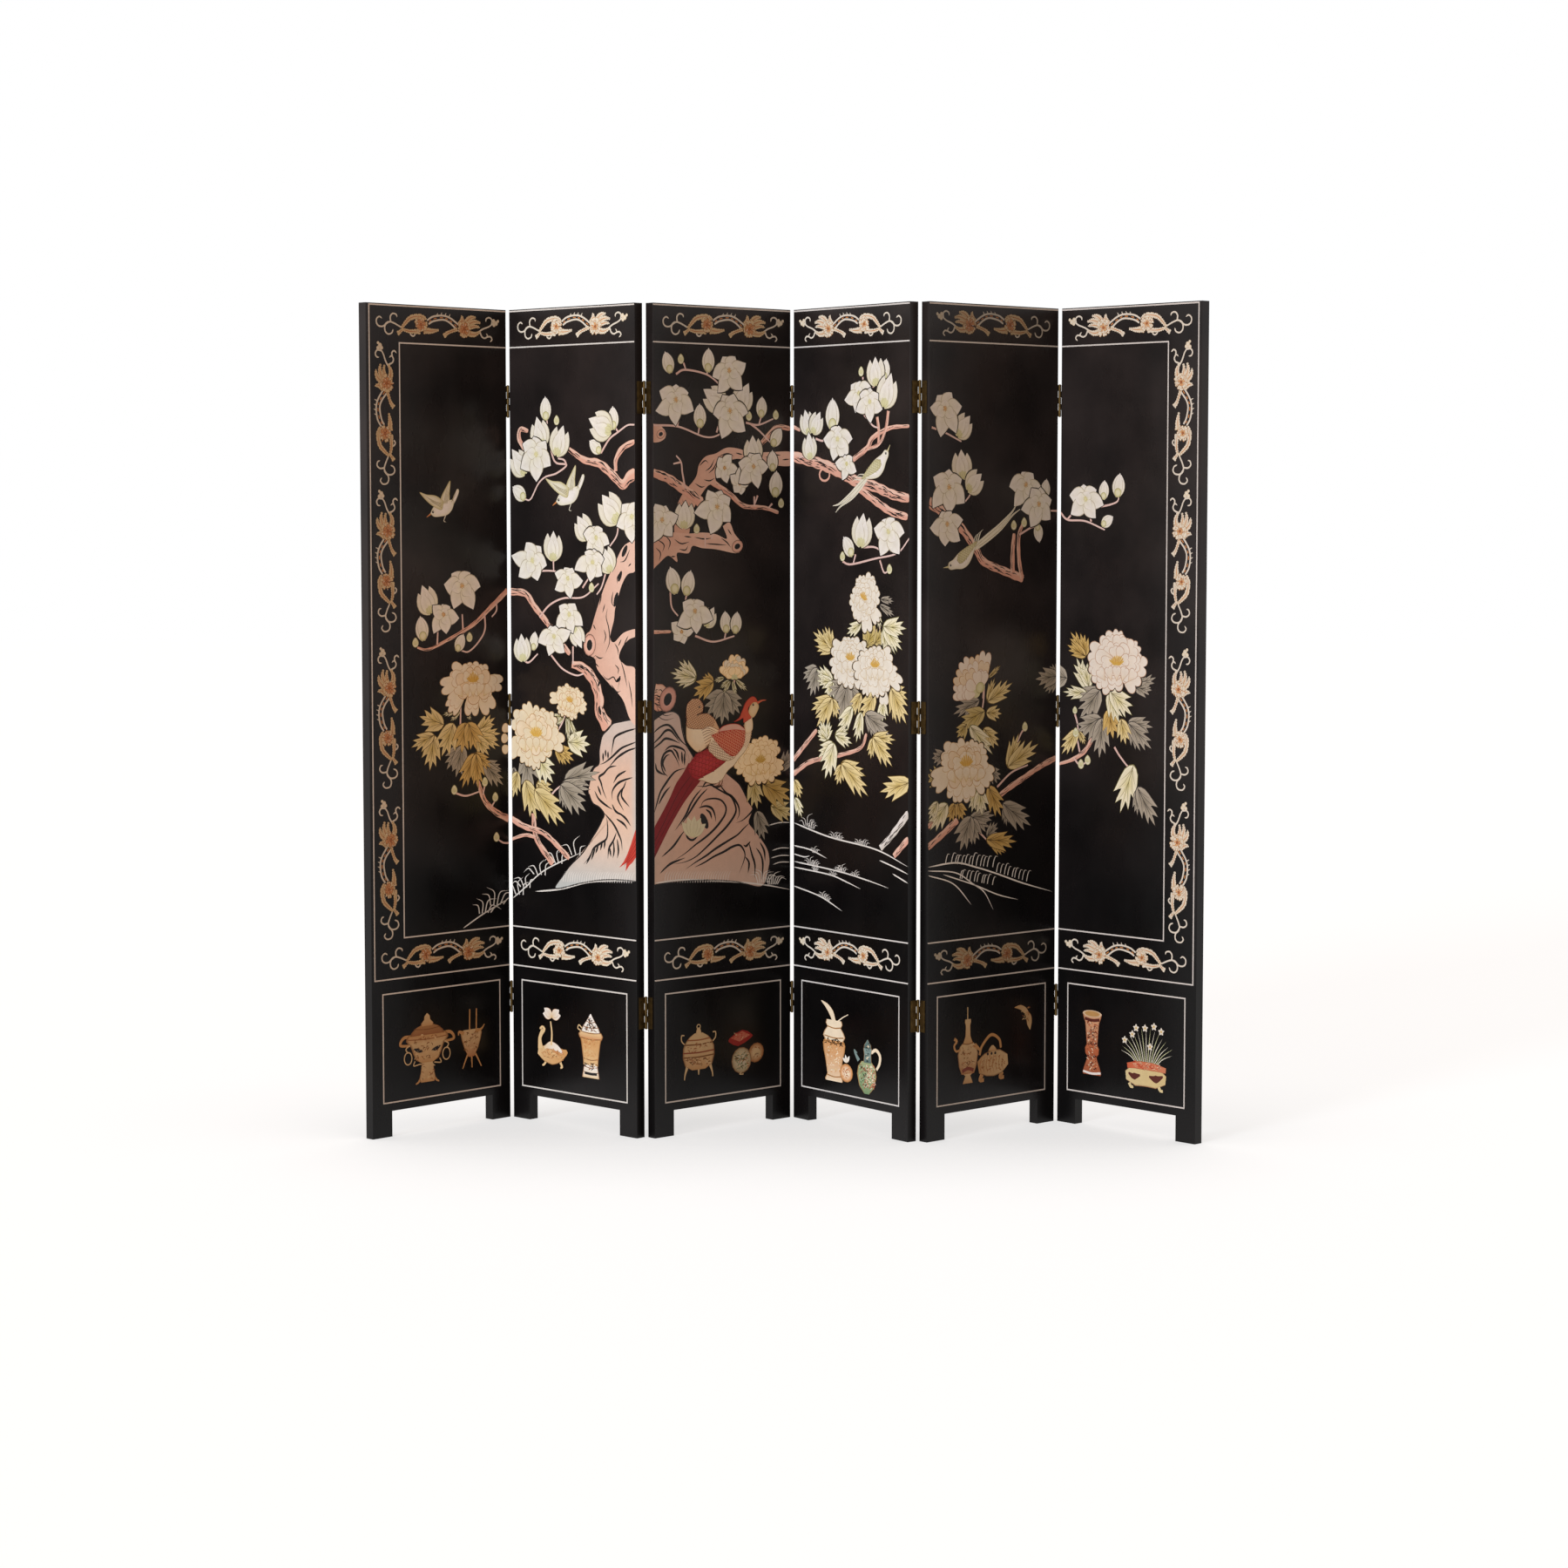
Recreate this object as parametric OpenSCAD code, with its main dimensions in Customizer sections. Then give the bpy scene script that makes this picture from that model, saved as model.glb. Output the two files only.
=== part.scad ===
// Folding screen of six hinged leaves that stands in a zigzag on the feet of its stiles.
// A leaf is a wooden frame of two stiles and three rails between a front and a back board.
// Brass butt hinges on the leaves' edges join each leaf to the next. Sizes are in millimetres.
// In a leaf's own frame, X runs from its left edge, Y from its front face and Z from the floor.

/* [Leaf] */
// Width of a leaf
leaf_w = 406; // [340:1:520]
// Height of a leaf
leaf_h = 1829; // [1500:1:2100]
// Thickness of a leaf over both boards
leaf_t = 24; // [20:0.5:36]
// Thickness of a front or back board
board_t = 3; // [2:0.5:5]
// Width of the bevel along a leaf's upright arrises
bevel = 0.8; // [0.4:0.1:1.5]

/* [Frame] */
// Width of a stile and of its foot
stile_w = 55; // [50:1:80]
// Height of a foot, up to the bottom rail
foot_h = 57; // [30:1:70]
// Height of the bottom rail
bottom_rail_h = 70; // [50:1:90]
// Height of the middle rail
middle_rail_h = 80; // [50:1:100]
// Height of the middle rail's lower edge above the floor
middle_rail_z = 354; // [340:1:420]
// Height of the top rail
top_rail_h = 70; // [50:1:90]
// Length of a tenon
tenon_l = 30; // [20:1:32]
// Thickness of a tenon
tenon_t = 6; // [4:0.5:8]
// Width of the shoulder above and below a tenon
shoulder = 12; // [8:1:16]
// Glue gap round a tenon in its mortise
glue_gap = 0.15; // [0.1:0.05:0.3]

/* [Painted lines] */
// Width of a line's groove in the front board
line_w = 3; // [2:0.1:4]
// Depth of a line's groove
line_d = 0.5; // [0.2:0.1:1]
// Distance of the outer line's middle below the top edge
outer_line_drop = 3.5; // [3.5:0.5:12]
// Distance of the outer line's middle from the screen's outer edge
outer_line_inset = 9; // [5:0.5:20]
// Height of the outer line's lower run above the floor
outer_line_z = 350; // [330:1:390]
// Distance of the inner line's middle below the top edge
inner_line_drop = 84; // [60:1:120]
// Distance of the inner line's middle from the screen's outer edge
inner_line_inset = 94; // [60:1:120]
// Height of the inner line's lower run above the floor
inner_line_z = 439; // [410:1:480]
// Distance of the lower rectangle's line from the leaf's edges
panel_inset = 31; // [15:1:60]
// Height of the lower rectangle's bottom line above the floor
panel_low_z = 76; // [74:1:120]
// Height of the lower rectangle's top line above the floor
panel_high_z = 318; // [280:1:326]

/* [Hinges] */
// Height of a hinge
hinge_h = 70; // [50:1:100]
// Width of a hinge plate from the pin's axis across the leaf's edge
plate_w = 19; // [16:0.5:20]
// Thickness of a hinge plate
plate_t = 1.6; // [1.2:0.1:2]
// Number of knuckles in a hinge
knuckles = 5; // [3:2:7]
// Outer radius of a knuckle
knuckle_r = 3.2; // [2.8:0.1:4]
// Gap between neighbouring knuckles, and between a knuckle and the other plate
knuckle_gap = 0.3; // [0.2:0.1:0.6]
// Clearance between a knuckle and the plane of a leaf's edge
edge_gap = 0.2; // [0.2:0.1:1]
// Distance of the pin's axis from the faces that fold together
pin_off = 1.5; // [1.2:0.1:3]
// Radius of a pin
pin_r = 1.5; // [1.2:0.1:1.8]
// Radial clearance of a pin in its knuckles
pin_fit = 0.05; // [0.02:0.01:0.1]
// Radius of a pin's heads
pin_head_r = 2.6; // [2.2:0.1:2.8]
// Height of a pin's head
pin_head_h = 1.4; // [0.8:0.1:3]
// Height of the lowest hinge's middle above the floor
low_hinge_z = 277; // [200:1:300]
// Height of the middle hinge's middle above the floor
middle_hinge_z = 931; // [700:1:1100]
// Distance of the top hinge's middle below the top edge
top_hinge_drop = 204; // [130:1:300]

/* [Screws] */
// Number of screws in a hinge plate
plate_screws = 3; // [2:1:4]
// Distance of the outer screws from the plate's ends
screw_end = 9.4; // [5:0.1:14]
// Radius of a screw's shank
screw_r = 1.5; // [1.2:0.1:1.8]
// Length of a screw
screw_l = 16; // [10:1:20]
// Length of a screw's tip
screw_tip = 3; // [2:0.5:4]
// Radius of a screw's head
screw_head_r = 2.75; // [2.3:0.05:3.2]
// Thickness of the plate under a screw's head
screw_seat = 0.4; // [0.2:0.1:0.6]
// Radial clearance round a screw
screw_fit = 0.05; // [0.02:0.01:0.1]
// Width of the cross slot in a screw's head
slot_w = 0.7; // [0.4:0.1:1]
// Depth of the cross slot
slot_d = 0.6; // [0.3:0.1:0.6]

/* [Folds] */
// Angle of the first leaf from the screen's front plane
first_angle = 46.5; // [20:0.1:70]
// Turn between leaves 1 and 2, which is 0 when they lie flat
fold_1 = 90.2; // [60:0.1:120]
// Turn between leaves 2 and 3
fold_2 = 86.3; // [60:0.1:120]
// Turn between leaves 3 and 4
fold_3 = 94.7; // [60:0.1:120]
// Turn between leaves 4 and 5
fold_4 = 94.6; // [60:0.1:120]
// Turn between leaves 5 and 6
fold_5 = 89.4; // [60:0.1:120]

/* [Hidden] */
$fn = 48;
folds = [fold_1, fold_2, fold_3, fold_4, fold_5];
fold_count = len(folds);
leaf_count = fold_count + 1;
LEAF_PARTS = [
    "left_stile", "right_stile", "top_rail", "middle_rail", "bottom_rail",
    "front_board", "back_board", "hinge_plates", "hinge_screws"
];

lacquer = "#211b18";
bare_wood = "#b08a5c";
brass = "#a5814a";

// Cutters reach this far past the face that they open in
past = 1;

frame_t = leaf_t - 2 * board_t;
rail_l = leaf_w - 2 * stile_w;
top_rail_z = leaf_h - top_rail_h;
rails = [[foot_h, bottom_rail_h], [middle_rail_z, middle_rail_h], [top_rail_z, top_rail_h]];

fold_gap = 2 * (knuckle_r + edge_gap);
knuckle_h = (hinge_h - (knuckles - 1) * knuckle_gap) / knuckles;
hinge_zs = [low_hinge_z, middle_hinge_z, leaf_h - top_hinge_drop];
plate_x = fold_gap / 2 - plate_t;
flat_y = knuckle_r + knuckle_gap;
screw_y = (flat_y + plate_w) / 2;
screw_pitch = (hinge_h - 2 * screw_end) / (plate_screws - 1);
screw_zs = [for (j = [0:plate_screws - 1]) j * screw_pitch + screw_end - hinge_h / 2];
screw_head_h = plate_t - screw_seat;

// An odd fold has its pins in front of the leaves and shuts its front faces together.
// An even fold has its pins behind the leaves and shuts its back faces together.
function in_front(fold) = fold % 2 == 1;
function is_fold(fold) = fold >= 1 && fold <= fold_count;
function pin_y(fold) = in_front(fold) ? -pin_off : leaf_t + pin_off;
function along(a) = [cos(a), sin(a)];
function across(a) = [-sin(a), cos(a)];
function angle(i) = i == 1 ? first_angle
    : angle(i - 1) + (in_front(i - 1) ? -1 : 1) * folds[i - 2];
// Pin axis of a fold, worked out from the leaf on its left
function pin_axis(fold) = corner(fold)
    + along(angle(fold)) * (leaf_w + fold_gap / 2)
    + across(angle(fold)) * pin_y(fold);
// Front left corner of a leaf in plan
function corner(i) = i == 1 ? [0, 0]
    : pin_axis(i - 1) + along(angle(i)) * fold_gap / 2 - across(angle(i)) * pin_y(i - 1);

// Corners of a leaf's plan with bevelled arrises, which set the middle of the screen
leaf_plan = [
    [bevel, 0], [leaf_w - bevel, 0], [leaf_w, bevel], [leaf_w, leaf_t - bevel],
    [leaf_w - bevel, leaf_t], [bevel, leaf_t], [0, leaf_t - bevel], [0, bevel]
];
plan = [for (i = [1:leaf_count]) for (p = leaf_plan)
    corner(i) + along(angle(i)) * p.x + across(angle(i)) * p.y];
plan_x = [for (p = plan) p.x];
plan_y = [for (p = plan) p.y];
middle = [(min(plan_x) + max(plan_x)) / 2, (min(plan_y) + max(plan_y)) / 2];

// Places of the pins and leaves in plan, for the joints and feet
for (k = [1:fold_count]) echo(fold = k, pin = pin_axis(k) - middle);
for (i = [1:leaf_count]) echo(leaf = i, corner = corner(i) - middle, angle = angle(i));

// Carries a piece from a leaf's own frame to the leaf's place in the screen
module at_leaf(i) {
    place = corner(i) - middle;
    translate([place.x, place.y, 0]) rotate([0, 0, angle(i)]) children();
}

// Turns a piece of the left half of a leaf over to the right half
module to_right() {
    translate([leaf_w, 0, 0]) mirror([1, 0, 0]) children();
}

// Carries a piece from a fold's pin axis to the leaf's edge there, with the leaf on its +X side
module at_pin(fold) {
    translate([-fold_gap / 2, pin_y(fold), 0])
        mirror([0, in_front(fold) ? 0 : 1, 0]) children();
}

module mortise(z, h) {
    translate([
        stile_w - tenon_l - glue_gap,
        (leaf_t - tenon_t) / 2 - glue_gap,
        z + shoulder - glue_gap
    ])
        cube([
            tenon_l + glue_gap + past,
            tenon_t + 2 * glue_gap,
            h - 2 * shoulder + 2 * glue_gap
        ]);
}

// Repeats a piece at each screw of a fold's plates on one leaf, pointing into the leaf's edge
module each_screw(fold) {
    at_pin(fold)
        for (hinge_z = hinge_zs)
            for (z = screw_zs)
                translate([plate_x, screw_y, hinge_z + z]) rotate([0, 90, 0]) children();
}

// Stile at a leaf's left edge, drilled for the hinges of the fold there
module stile(fold) {
    difference() {
        union() {
            translate([0, board_t, 0]) cube([stile_w, frame_t, leaf_h]);
            linear_extrude(foot_h)
                polygon([
                    [bevel, 0], [stile_w, 0], [stile_w, leaf_t],
                    [bevel, leaf_t], [0, leaf_t - bevel], [0, bevel]
                ]);
        }
        for (rail = rails) mortise(rail[0], rail[1]);
        if (is_fold(fold)) each_screw(fold) cylinder(r = screw_r + screw_fit, h = screw_l + past);
    }
}

module left_stile(i) {
    color(lacquer) at_leaf(i) stile(i - 1);
}

module right_stile(i) {
    color(lacquer) at_leaf(i) to_right() stile(i);
}

// Rail with its tenons
module rail(z, h) {
    translate([stile_w, board_t, z]) cube([rail_l, frame_t, h]);
    translate([stile_w - tenon_l, (leaf_t - tenon_t) / 2, z + shoulder])
        cube([rail_l + 2 * tenon_l, tenon_t, h - 2 * shoulder]);
}

module top_rail(i) {
    color(bare_wood) at_leaf(i) rail(top_rail_z, top_rail_h);
}

module middle_rail(i) {
    color(bare_wood) at_leaf(i) rail(middle_rail_z, middle_rail_h);
}

module bottom_rail(i) {
    color(bare_wood) at_leaf(i) rail(foot_h, bottom_rail_h);
}

// Board with bevelled outer arrises, as it lies on the front of the frame
module board() {
    translate([0, 0, foot_h])
        linear_extrude(leaf_h - foot_h)
            polygon([
                [bevel, 0], [leaf_w - bevel, 0], [leaf_w, bevel],
                [leaf_w, board_t], [0, board_t], [0, bevel]
            ]);
}

// Grooves for painted lines: level from x0 to x1, and upright from z0 to z1
module level_line(z, x0, x1) {
    translate([x0 - line_w / 2, -past, z - line_w / 2])
        cube([x1 - x0 + line_w, past + line_d, line_w]);
}

module upright_line(x, z0, z1) {
    translate([x - line_w / 2, -past, z0 - line_w / 2])
        cube([line_w, past + line_d, z1 - z0 + line_w]);
}

// Level and upright runs of a border line, which turns the corners of the screen's outer leaves
module border_line(i, inset, low_z, high_z) {
    x0 = i == 1 ? inset : -past;
    x1 = i == leaf_count ? leaf_w - inset : leaf_w + past;
    for (z = [low_z, high_z]) level_line(z, x0, x1);
    if (i == 1) upright_line(inset, low_z, high_z);
    if (i == leaf_count) upright_line(leaf_w - inset, low_z, high_z);
}

module front_board(i) {
    color(lacquer) at_leaf(i) difference() {
        board();
        border_line(i, outer_line_inset, outer_line_z, leaf_h - outer_line_drop);
        border_line(i, inner_line_inset, inner_line_z, leaf_h - inner_line_drop);
        for (z = [panel_low_z, panel_high_z]) level_line(z, panel_inset, leaf_w - panel_inset);
        for (x = [panel_inset, leaf_w - panel_inset]) upright_line(x, panel_low_z, panel_high_z);
    }
}

module back_board(i) {
    color(lacquer) at_leaf(i) translate([0, leaf_t, 0]) mirror([0, 1, 0]) board();
}

// Hole for a countersunk screw, from the plate's outer face
module screw_hole() {
    slope = (screw_head_r - screw_r) / screw_head_h;
    translate([0, 0, -past])
        cylinder(
            h = screw_head_h + past,
            r1 = screw_head_r + screw_fit + slope * past,
            r2 = screw_r + screw_fit
        );
    cylinder(r = screw_r + screw_fit, h = plate_t + past);
}

// Plate of one leaf, from the pin's axis, with every second knuckle from the given one
module hinge_plate(first_knuckle) {
    difference() {
        union() {
            translate([plate_x, flat_y, -hinge_h / 2])
                cube([plate_t, plate_w - flat_y, hinge_h]);
            for (s = [first_knuckle:2:knuckles - 1])
                translate([0, 0, s * (knuckle_h + knuckle_gap) - hinge_h / 2]) {
                    cylinder(r = knuckle_r, h = knuckle_h);
                    translate([plate_x, 0, 0]) cube([plate_t, (flat_y + plate_w) / 2, knuckle_h]);
                }
        }
        translate([0, 0, -hinge_h / 2 - past])
            cylinder(r = pin_r + pin_fit, h = hinge_h + 2 * past);
        for (z = screw_zs)
            translate([plate_x, screw_y, z]) rotate([0, 90, 0]) screw_hole();
    }
}

// The leaf on the left of a fold carries the outer knuckles, and the one on its right the others
module hinge_plates(i) {
    color(brass) at_leaf(i) {
        if (is_fold(i))
            to_right() at_pin(i) for (z = hinge_zs) translate([0, 0, z]) hinge_plate(0);
        if (is_fold(i - 1))
            at_pin(i - 1) for (z = hinge_zs) translate([0, 0, z]) hinge_plate(1);
    }
}

// Countersunk screw with a cross slot, its head's top at z = 0 and its tip upwards
module screw() {
    difference() {
        union() {
            cylinder(h = screw_head_h, r1 = screw_head_r, r2 = screw_r);
            cylinder(r = screw_r, h = screw_l - screw_tip);
            translate([0, 0, screw_l - screw_tip])
                cylinder(h = screw_tip, r1 = screw_r, r2 = screw_r / 5);
        }
        for (a = [0, 90])
            rotate([0, 0, a])
                translate([0, 0, (slot_d - past) / 2])
                    cube([1.3 * screw_head_r, slot_w, slot_d + past], center = true);
    }
}

module hinge_screws(i) {
    color(brass) at_leaf(i) {
        if (is_fold(i)) to_right() each_screw(i) screw();
        if (is_fold(i - 1)) each_screw(i - 1) screw();
    }
}

// Pin with a low head above the top knuckle and another below the bottom one
module hinge_pin() {
    translate([0, 0, -hinge_h / 2]) cylinder(r = pin_r, h = hinge_h);
    for (up = [0, 1])
        mirror([0, 0, up])
            translate([0, 0, hinge_h / 2]) {
                cylinder(r = pin_head_r, h = pin_head_h / 2);
                translate([0, 0, pin_head_h / 2])
                    cylinder(h = pin_head_h / 2, r1 = pin_head_r, r2 = pin_r);
            }
}

module hinge_pins(fold) {
    color(brass) at_leaf(fold) to_right() at_pin(fold)
        for (z = hinge_zs) translate([0, 0, z]) hinge_pin();
}

for (i = [1:leaf_count]) {
    left_stile(i);
    right_stile(i);
    top_rail(i);
    middle_rail(i);
    bottom_rail(i);
    front_board(i);
    back_board(i);
    hinge_plates(i);
    hinge_screws(i);
}
for (k = [1:fold_count]) {
    hinge_pins(k);
}
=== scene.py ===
"""Looks of the painted folding screen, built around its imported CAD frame, in metres.

Points on a leaf are in millimetres: x from its left edge, z from the floor, height outwards from its front.
"""
import math
import random

import bpy
import numpy as np
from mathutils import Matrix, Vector
from mathutils.geometry import tessellate_polygon


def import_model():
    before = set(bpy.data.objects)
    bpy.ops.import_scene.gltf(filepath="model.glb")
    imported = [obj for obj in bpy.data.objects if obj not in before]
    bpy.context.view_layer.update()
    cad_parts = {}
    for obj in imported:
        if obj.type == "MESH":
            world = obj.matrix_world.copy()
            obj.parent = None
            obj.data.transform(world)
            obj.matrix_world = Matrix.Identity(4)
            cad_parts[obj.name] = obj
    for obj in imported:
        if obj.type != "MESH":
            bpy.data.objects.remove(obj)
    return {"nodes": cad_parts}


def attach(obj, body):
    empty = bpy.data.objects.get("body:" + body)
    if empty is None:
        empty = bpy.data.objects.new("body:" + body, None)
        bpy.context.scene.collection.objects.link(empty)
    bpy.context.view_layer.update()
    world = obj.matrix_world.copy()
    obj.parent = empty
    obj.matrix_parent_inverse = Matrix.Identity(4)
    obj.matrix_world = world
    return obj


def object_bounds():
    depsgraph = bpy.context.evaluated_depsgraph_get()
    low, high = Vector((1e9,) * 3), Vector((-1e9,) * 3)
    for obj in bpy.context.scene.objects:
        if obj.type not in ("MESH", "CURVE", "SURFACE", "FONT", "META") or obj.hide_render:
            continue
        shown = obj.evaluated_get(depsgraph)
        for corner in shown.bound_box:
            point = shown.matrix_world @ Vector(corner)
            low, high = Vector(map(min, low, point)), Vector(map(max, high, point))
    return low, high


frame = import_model()
cad_low, cad_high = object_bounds()

MM = 0.001
LEAVES = range(1, 7)

# Layers of paint: the first one's height, what each further one adds, and the height map's cell
BASE = 0.12
STEP = 0.006
CELL = 3.0

# The thinnest that half a strip gets, and how far paint keeps from a leaf's sides
THIN = 0.08
MARGIN = 1

# Where the columns of a strip lie across it, from its right side to its left
COLUMNS = {2: (-1, 1), 7: (-1, -0.86, -0.45, 0, 0.45, 0.86, 1)}


def colour(code):
    """Linear colour of a hex code such as e8dcc0."""
    parts = [int(code[i:i + 2], 16) / 255 for i in (0, 2, 4)]
    return np.array([c / 12.92 if c <= 0.04045 else ((c + 0.055) / 1.055) ** 2.4 for c in parts])


def paints(*codes):
    """The colours of a paint: its root, tip and edge, or a stone's colours from its foot to its head."""
    return [colour(code) for code in codes]


PETAL = paints("f4edc4", "fff8ea", "b9a67e")
PETAL_SHADE = paints("ece4b2", "faf2de", "ad9b74")
CALYX = paints("ddd596", "ece6b4", "968a52")
PEONY = paints("f1daa0", "fdf0d6", "dab47c")
PEONY_INNER = paints("ecc684", "fbe8c6", "c8924e")
PEONY_AMBER = [paint * (1.24, 1.1, 0.86) for paint in PEONY]
PEONY_ROSE = paints("f6deb8", "fff4e0", "d2a884")
PEONY_WHITE = paints("f6e4bc", "fff7e2", "dcc298")
PEONY_CREAM = [paint * (0.95, 0.92, 0.84) for paint in PEONY]
LEAF_KINDS = {
    "cream": paints("e6da9e", "f8eeca", "847a48"),
    "yellow": paints("d4b96e", "ecd698", "745c28"),
    "ochre": paints("c49c4c", "dcb86c", "60461a"),
    "olive": paints("bca456", "d4be7c", "5e4a20"),
    "grey": paints("938872", "b2a690", "37302a"),
}
BARK = paints("edb398", "f6ccb2", "d79a7c")
TWIG = paints("ecc0ae", "f4d5c6", "c99c88")
ROCK = paints("ccd0c8", "eccfb6", "f1c8a8", "ebc4a8", "dccbbb")
ROCK_ROSE = paints("e4c4ac", "e8bfa4", "e6b89c", "e6bca4", "dcc4b4")
INK = colour("17100d")
WHITE_LINE = colour("f1ebdf")
GOLD = colour("e2b84a")
POLLEN = paints("e9df96", "f0e8b0", "cdbb62")
# A darker, more orange copy of the pollen for the odd leaves, which face away from the key light: painted
# shade
POLLEN_SHADED = paints("e6ac58", "f0c884", "a8682c")
ORANGE = colour("d98c50")
SCROLL = paints("eed4a8", "f8f0d8", "c69e6e")
SCROLL_HEART = paints("dc9050", "f0bf86", "a4622e")
SCROLL_LINE = colour("efe5cf")
# A darker, more orange copy of the scroll paint for the odd leaves, which face away from the key light:
# painted shade
SCROLL_SHADED = paints("dab684", "ecd4a4", "a67644")
RUST = paints("c4743e", "e2a66e", "86421e")
RED = paints("a8241c", "cf4030", "7c1712")
CRIMSON = paints("ac262c", "c63c40", "7c181e")
MAROON = paints("6c141a", "8c1f24", "4a0c10")
FEATHER = paints("d8cc96", "f3ecd0", "a08f60")
DOWN = [FEATHER[1], PETAL[1], FEATHER[2]]
POTTERY = paints("dca465", "f2cf97", "8e5a2c")

# How much darker and yellower the paint of each leaf is made: painted shade and tint, deepest on leaves 3
# and 5, which face away from the key light
LEAF_SHADE_AND_TINT = {
    1: (0.96, 0.88, 0.86), 2: (0.97, 0.97, 1.0), 3: (0.78, 0.75, 0.76), 4: (0.9, 0.91, 0.97),
    5: (0.7, 0.66, 0.65), 6: (0.83, 0.8, 0.82),
}

# How light a kind of paint is beside the other kinds on the same leaf: painted shade on the odd leaves,
# which face away from the key light, and painted light on leaves 4 and 6, which face it
LIGHTNESS = {
    "scrolls": {1: 0.84, 3: 0.84, 5: 0.56}, "antiques": {1: 0.8, 3: 0.8, 5: 0.8, 4: 1.2},
    "foliage": {4: 1.12, 6: 1.08},
}


def curve(points, step):
    """Points about step apart on a smooth curve through the given points."""
    p = np.array(points, float)
    p = np.vstack([2 * p[0] - p[1], p, 2 * p[-1] - p[-2]])
    parts = []
    for a, b, c, d in zip(p[:-3], p[1:-2], p[2:-1], p[3:]):
        count = max(2, int(np.linalg.norm(c - b) / step) + 1)
        t = np.linspace(0, 1, count, endpoint=False)[:, None]
        bend = (2 * a - 5 * b + 4 * c - d) * t ** 2 + (3 * b - a - 3 * c + d) * t ** 3
        parts.append(b + ((c - a) * t + bend) / 2)
    return np.vstack(parts + [p[-2:-1]])


def spread(values, count):
    """Values set at even places along a line, read at count places."""
    values = np.atleast_1d(np.array(values, float))
    return np.interp(np.linspace(0, len(values) - 1, count), np.arange(len(values)), values)


def shade(count, paint, vein):
    """Colours of a strip of seven columns: root to tip along it, and its edge colour on both sides."""
    root, tip, edge = paint
    t = np.linspace(0, 1, count)[:, None]
    body = root + (tip - root) * t ** 0.5
    tints = np.repeat(body[:, None, :], 7, axis=1)
    tints[:, 3] += (edge - tints[:, 3]) * vein
    tints[:, 0] = tints[:, 6] = edge
    return tints


def turned(points, x, z, angle, flip=False):
    """Points of a motif turned by angle degrees, mirrored first or not, and moved to x, z."""
    p = np.array(points, float)
    if flip:
        p[:, 1] *= -1
    c, s = math.cos(math.radians(angle)), math.sin(math.radians(angle))
    return np.stack([x + p[:, 0] * c - p[:, 1] * s, z + p[:, 0] * s + p[:, 1] * c], axis=1)


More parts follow.
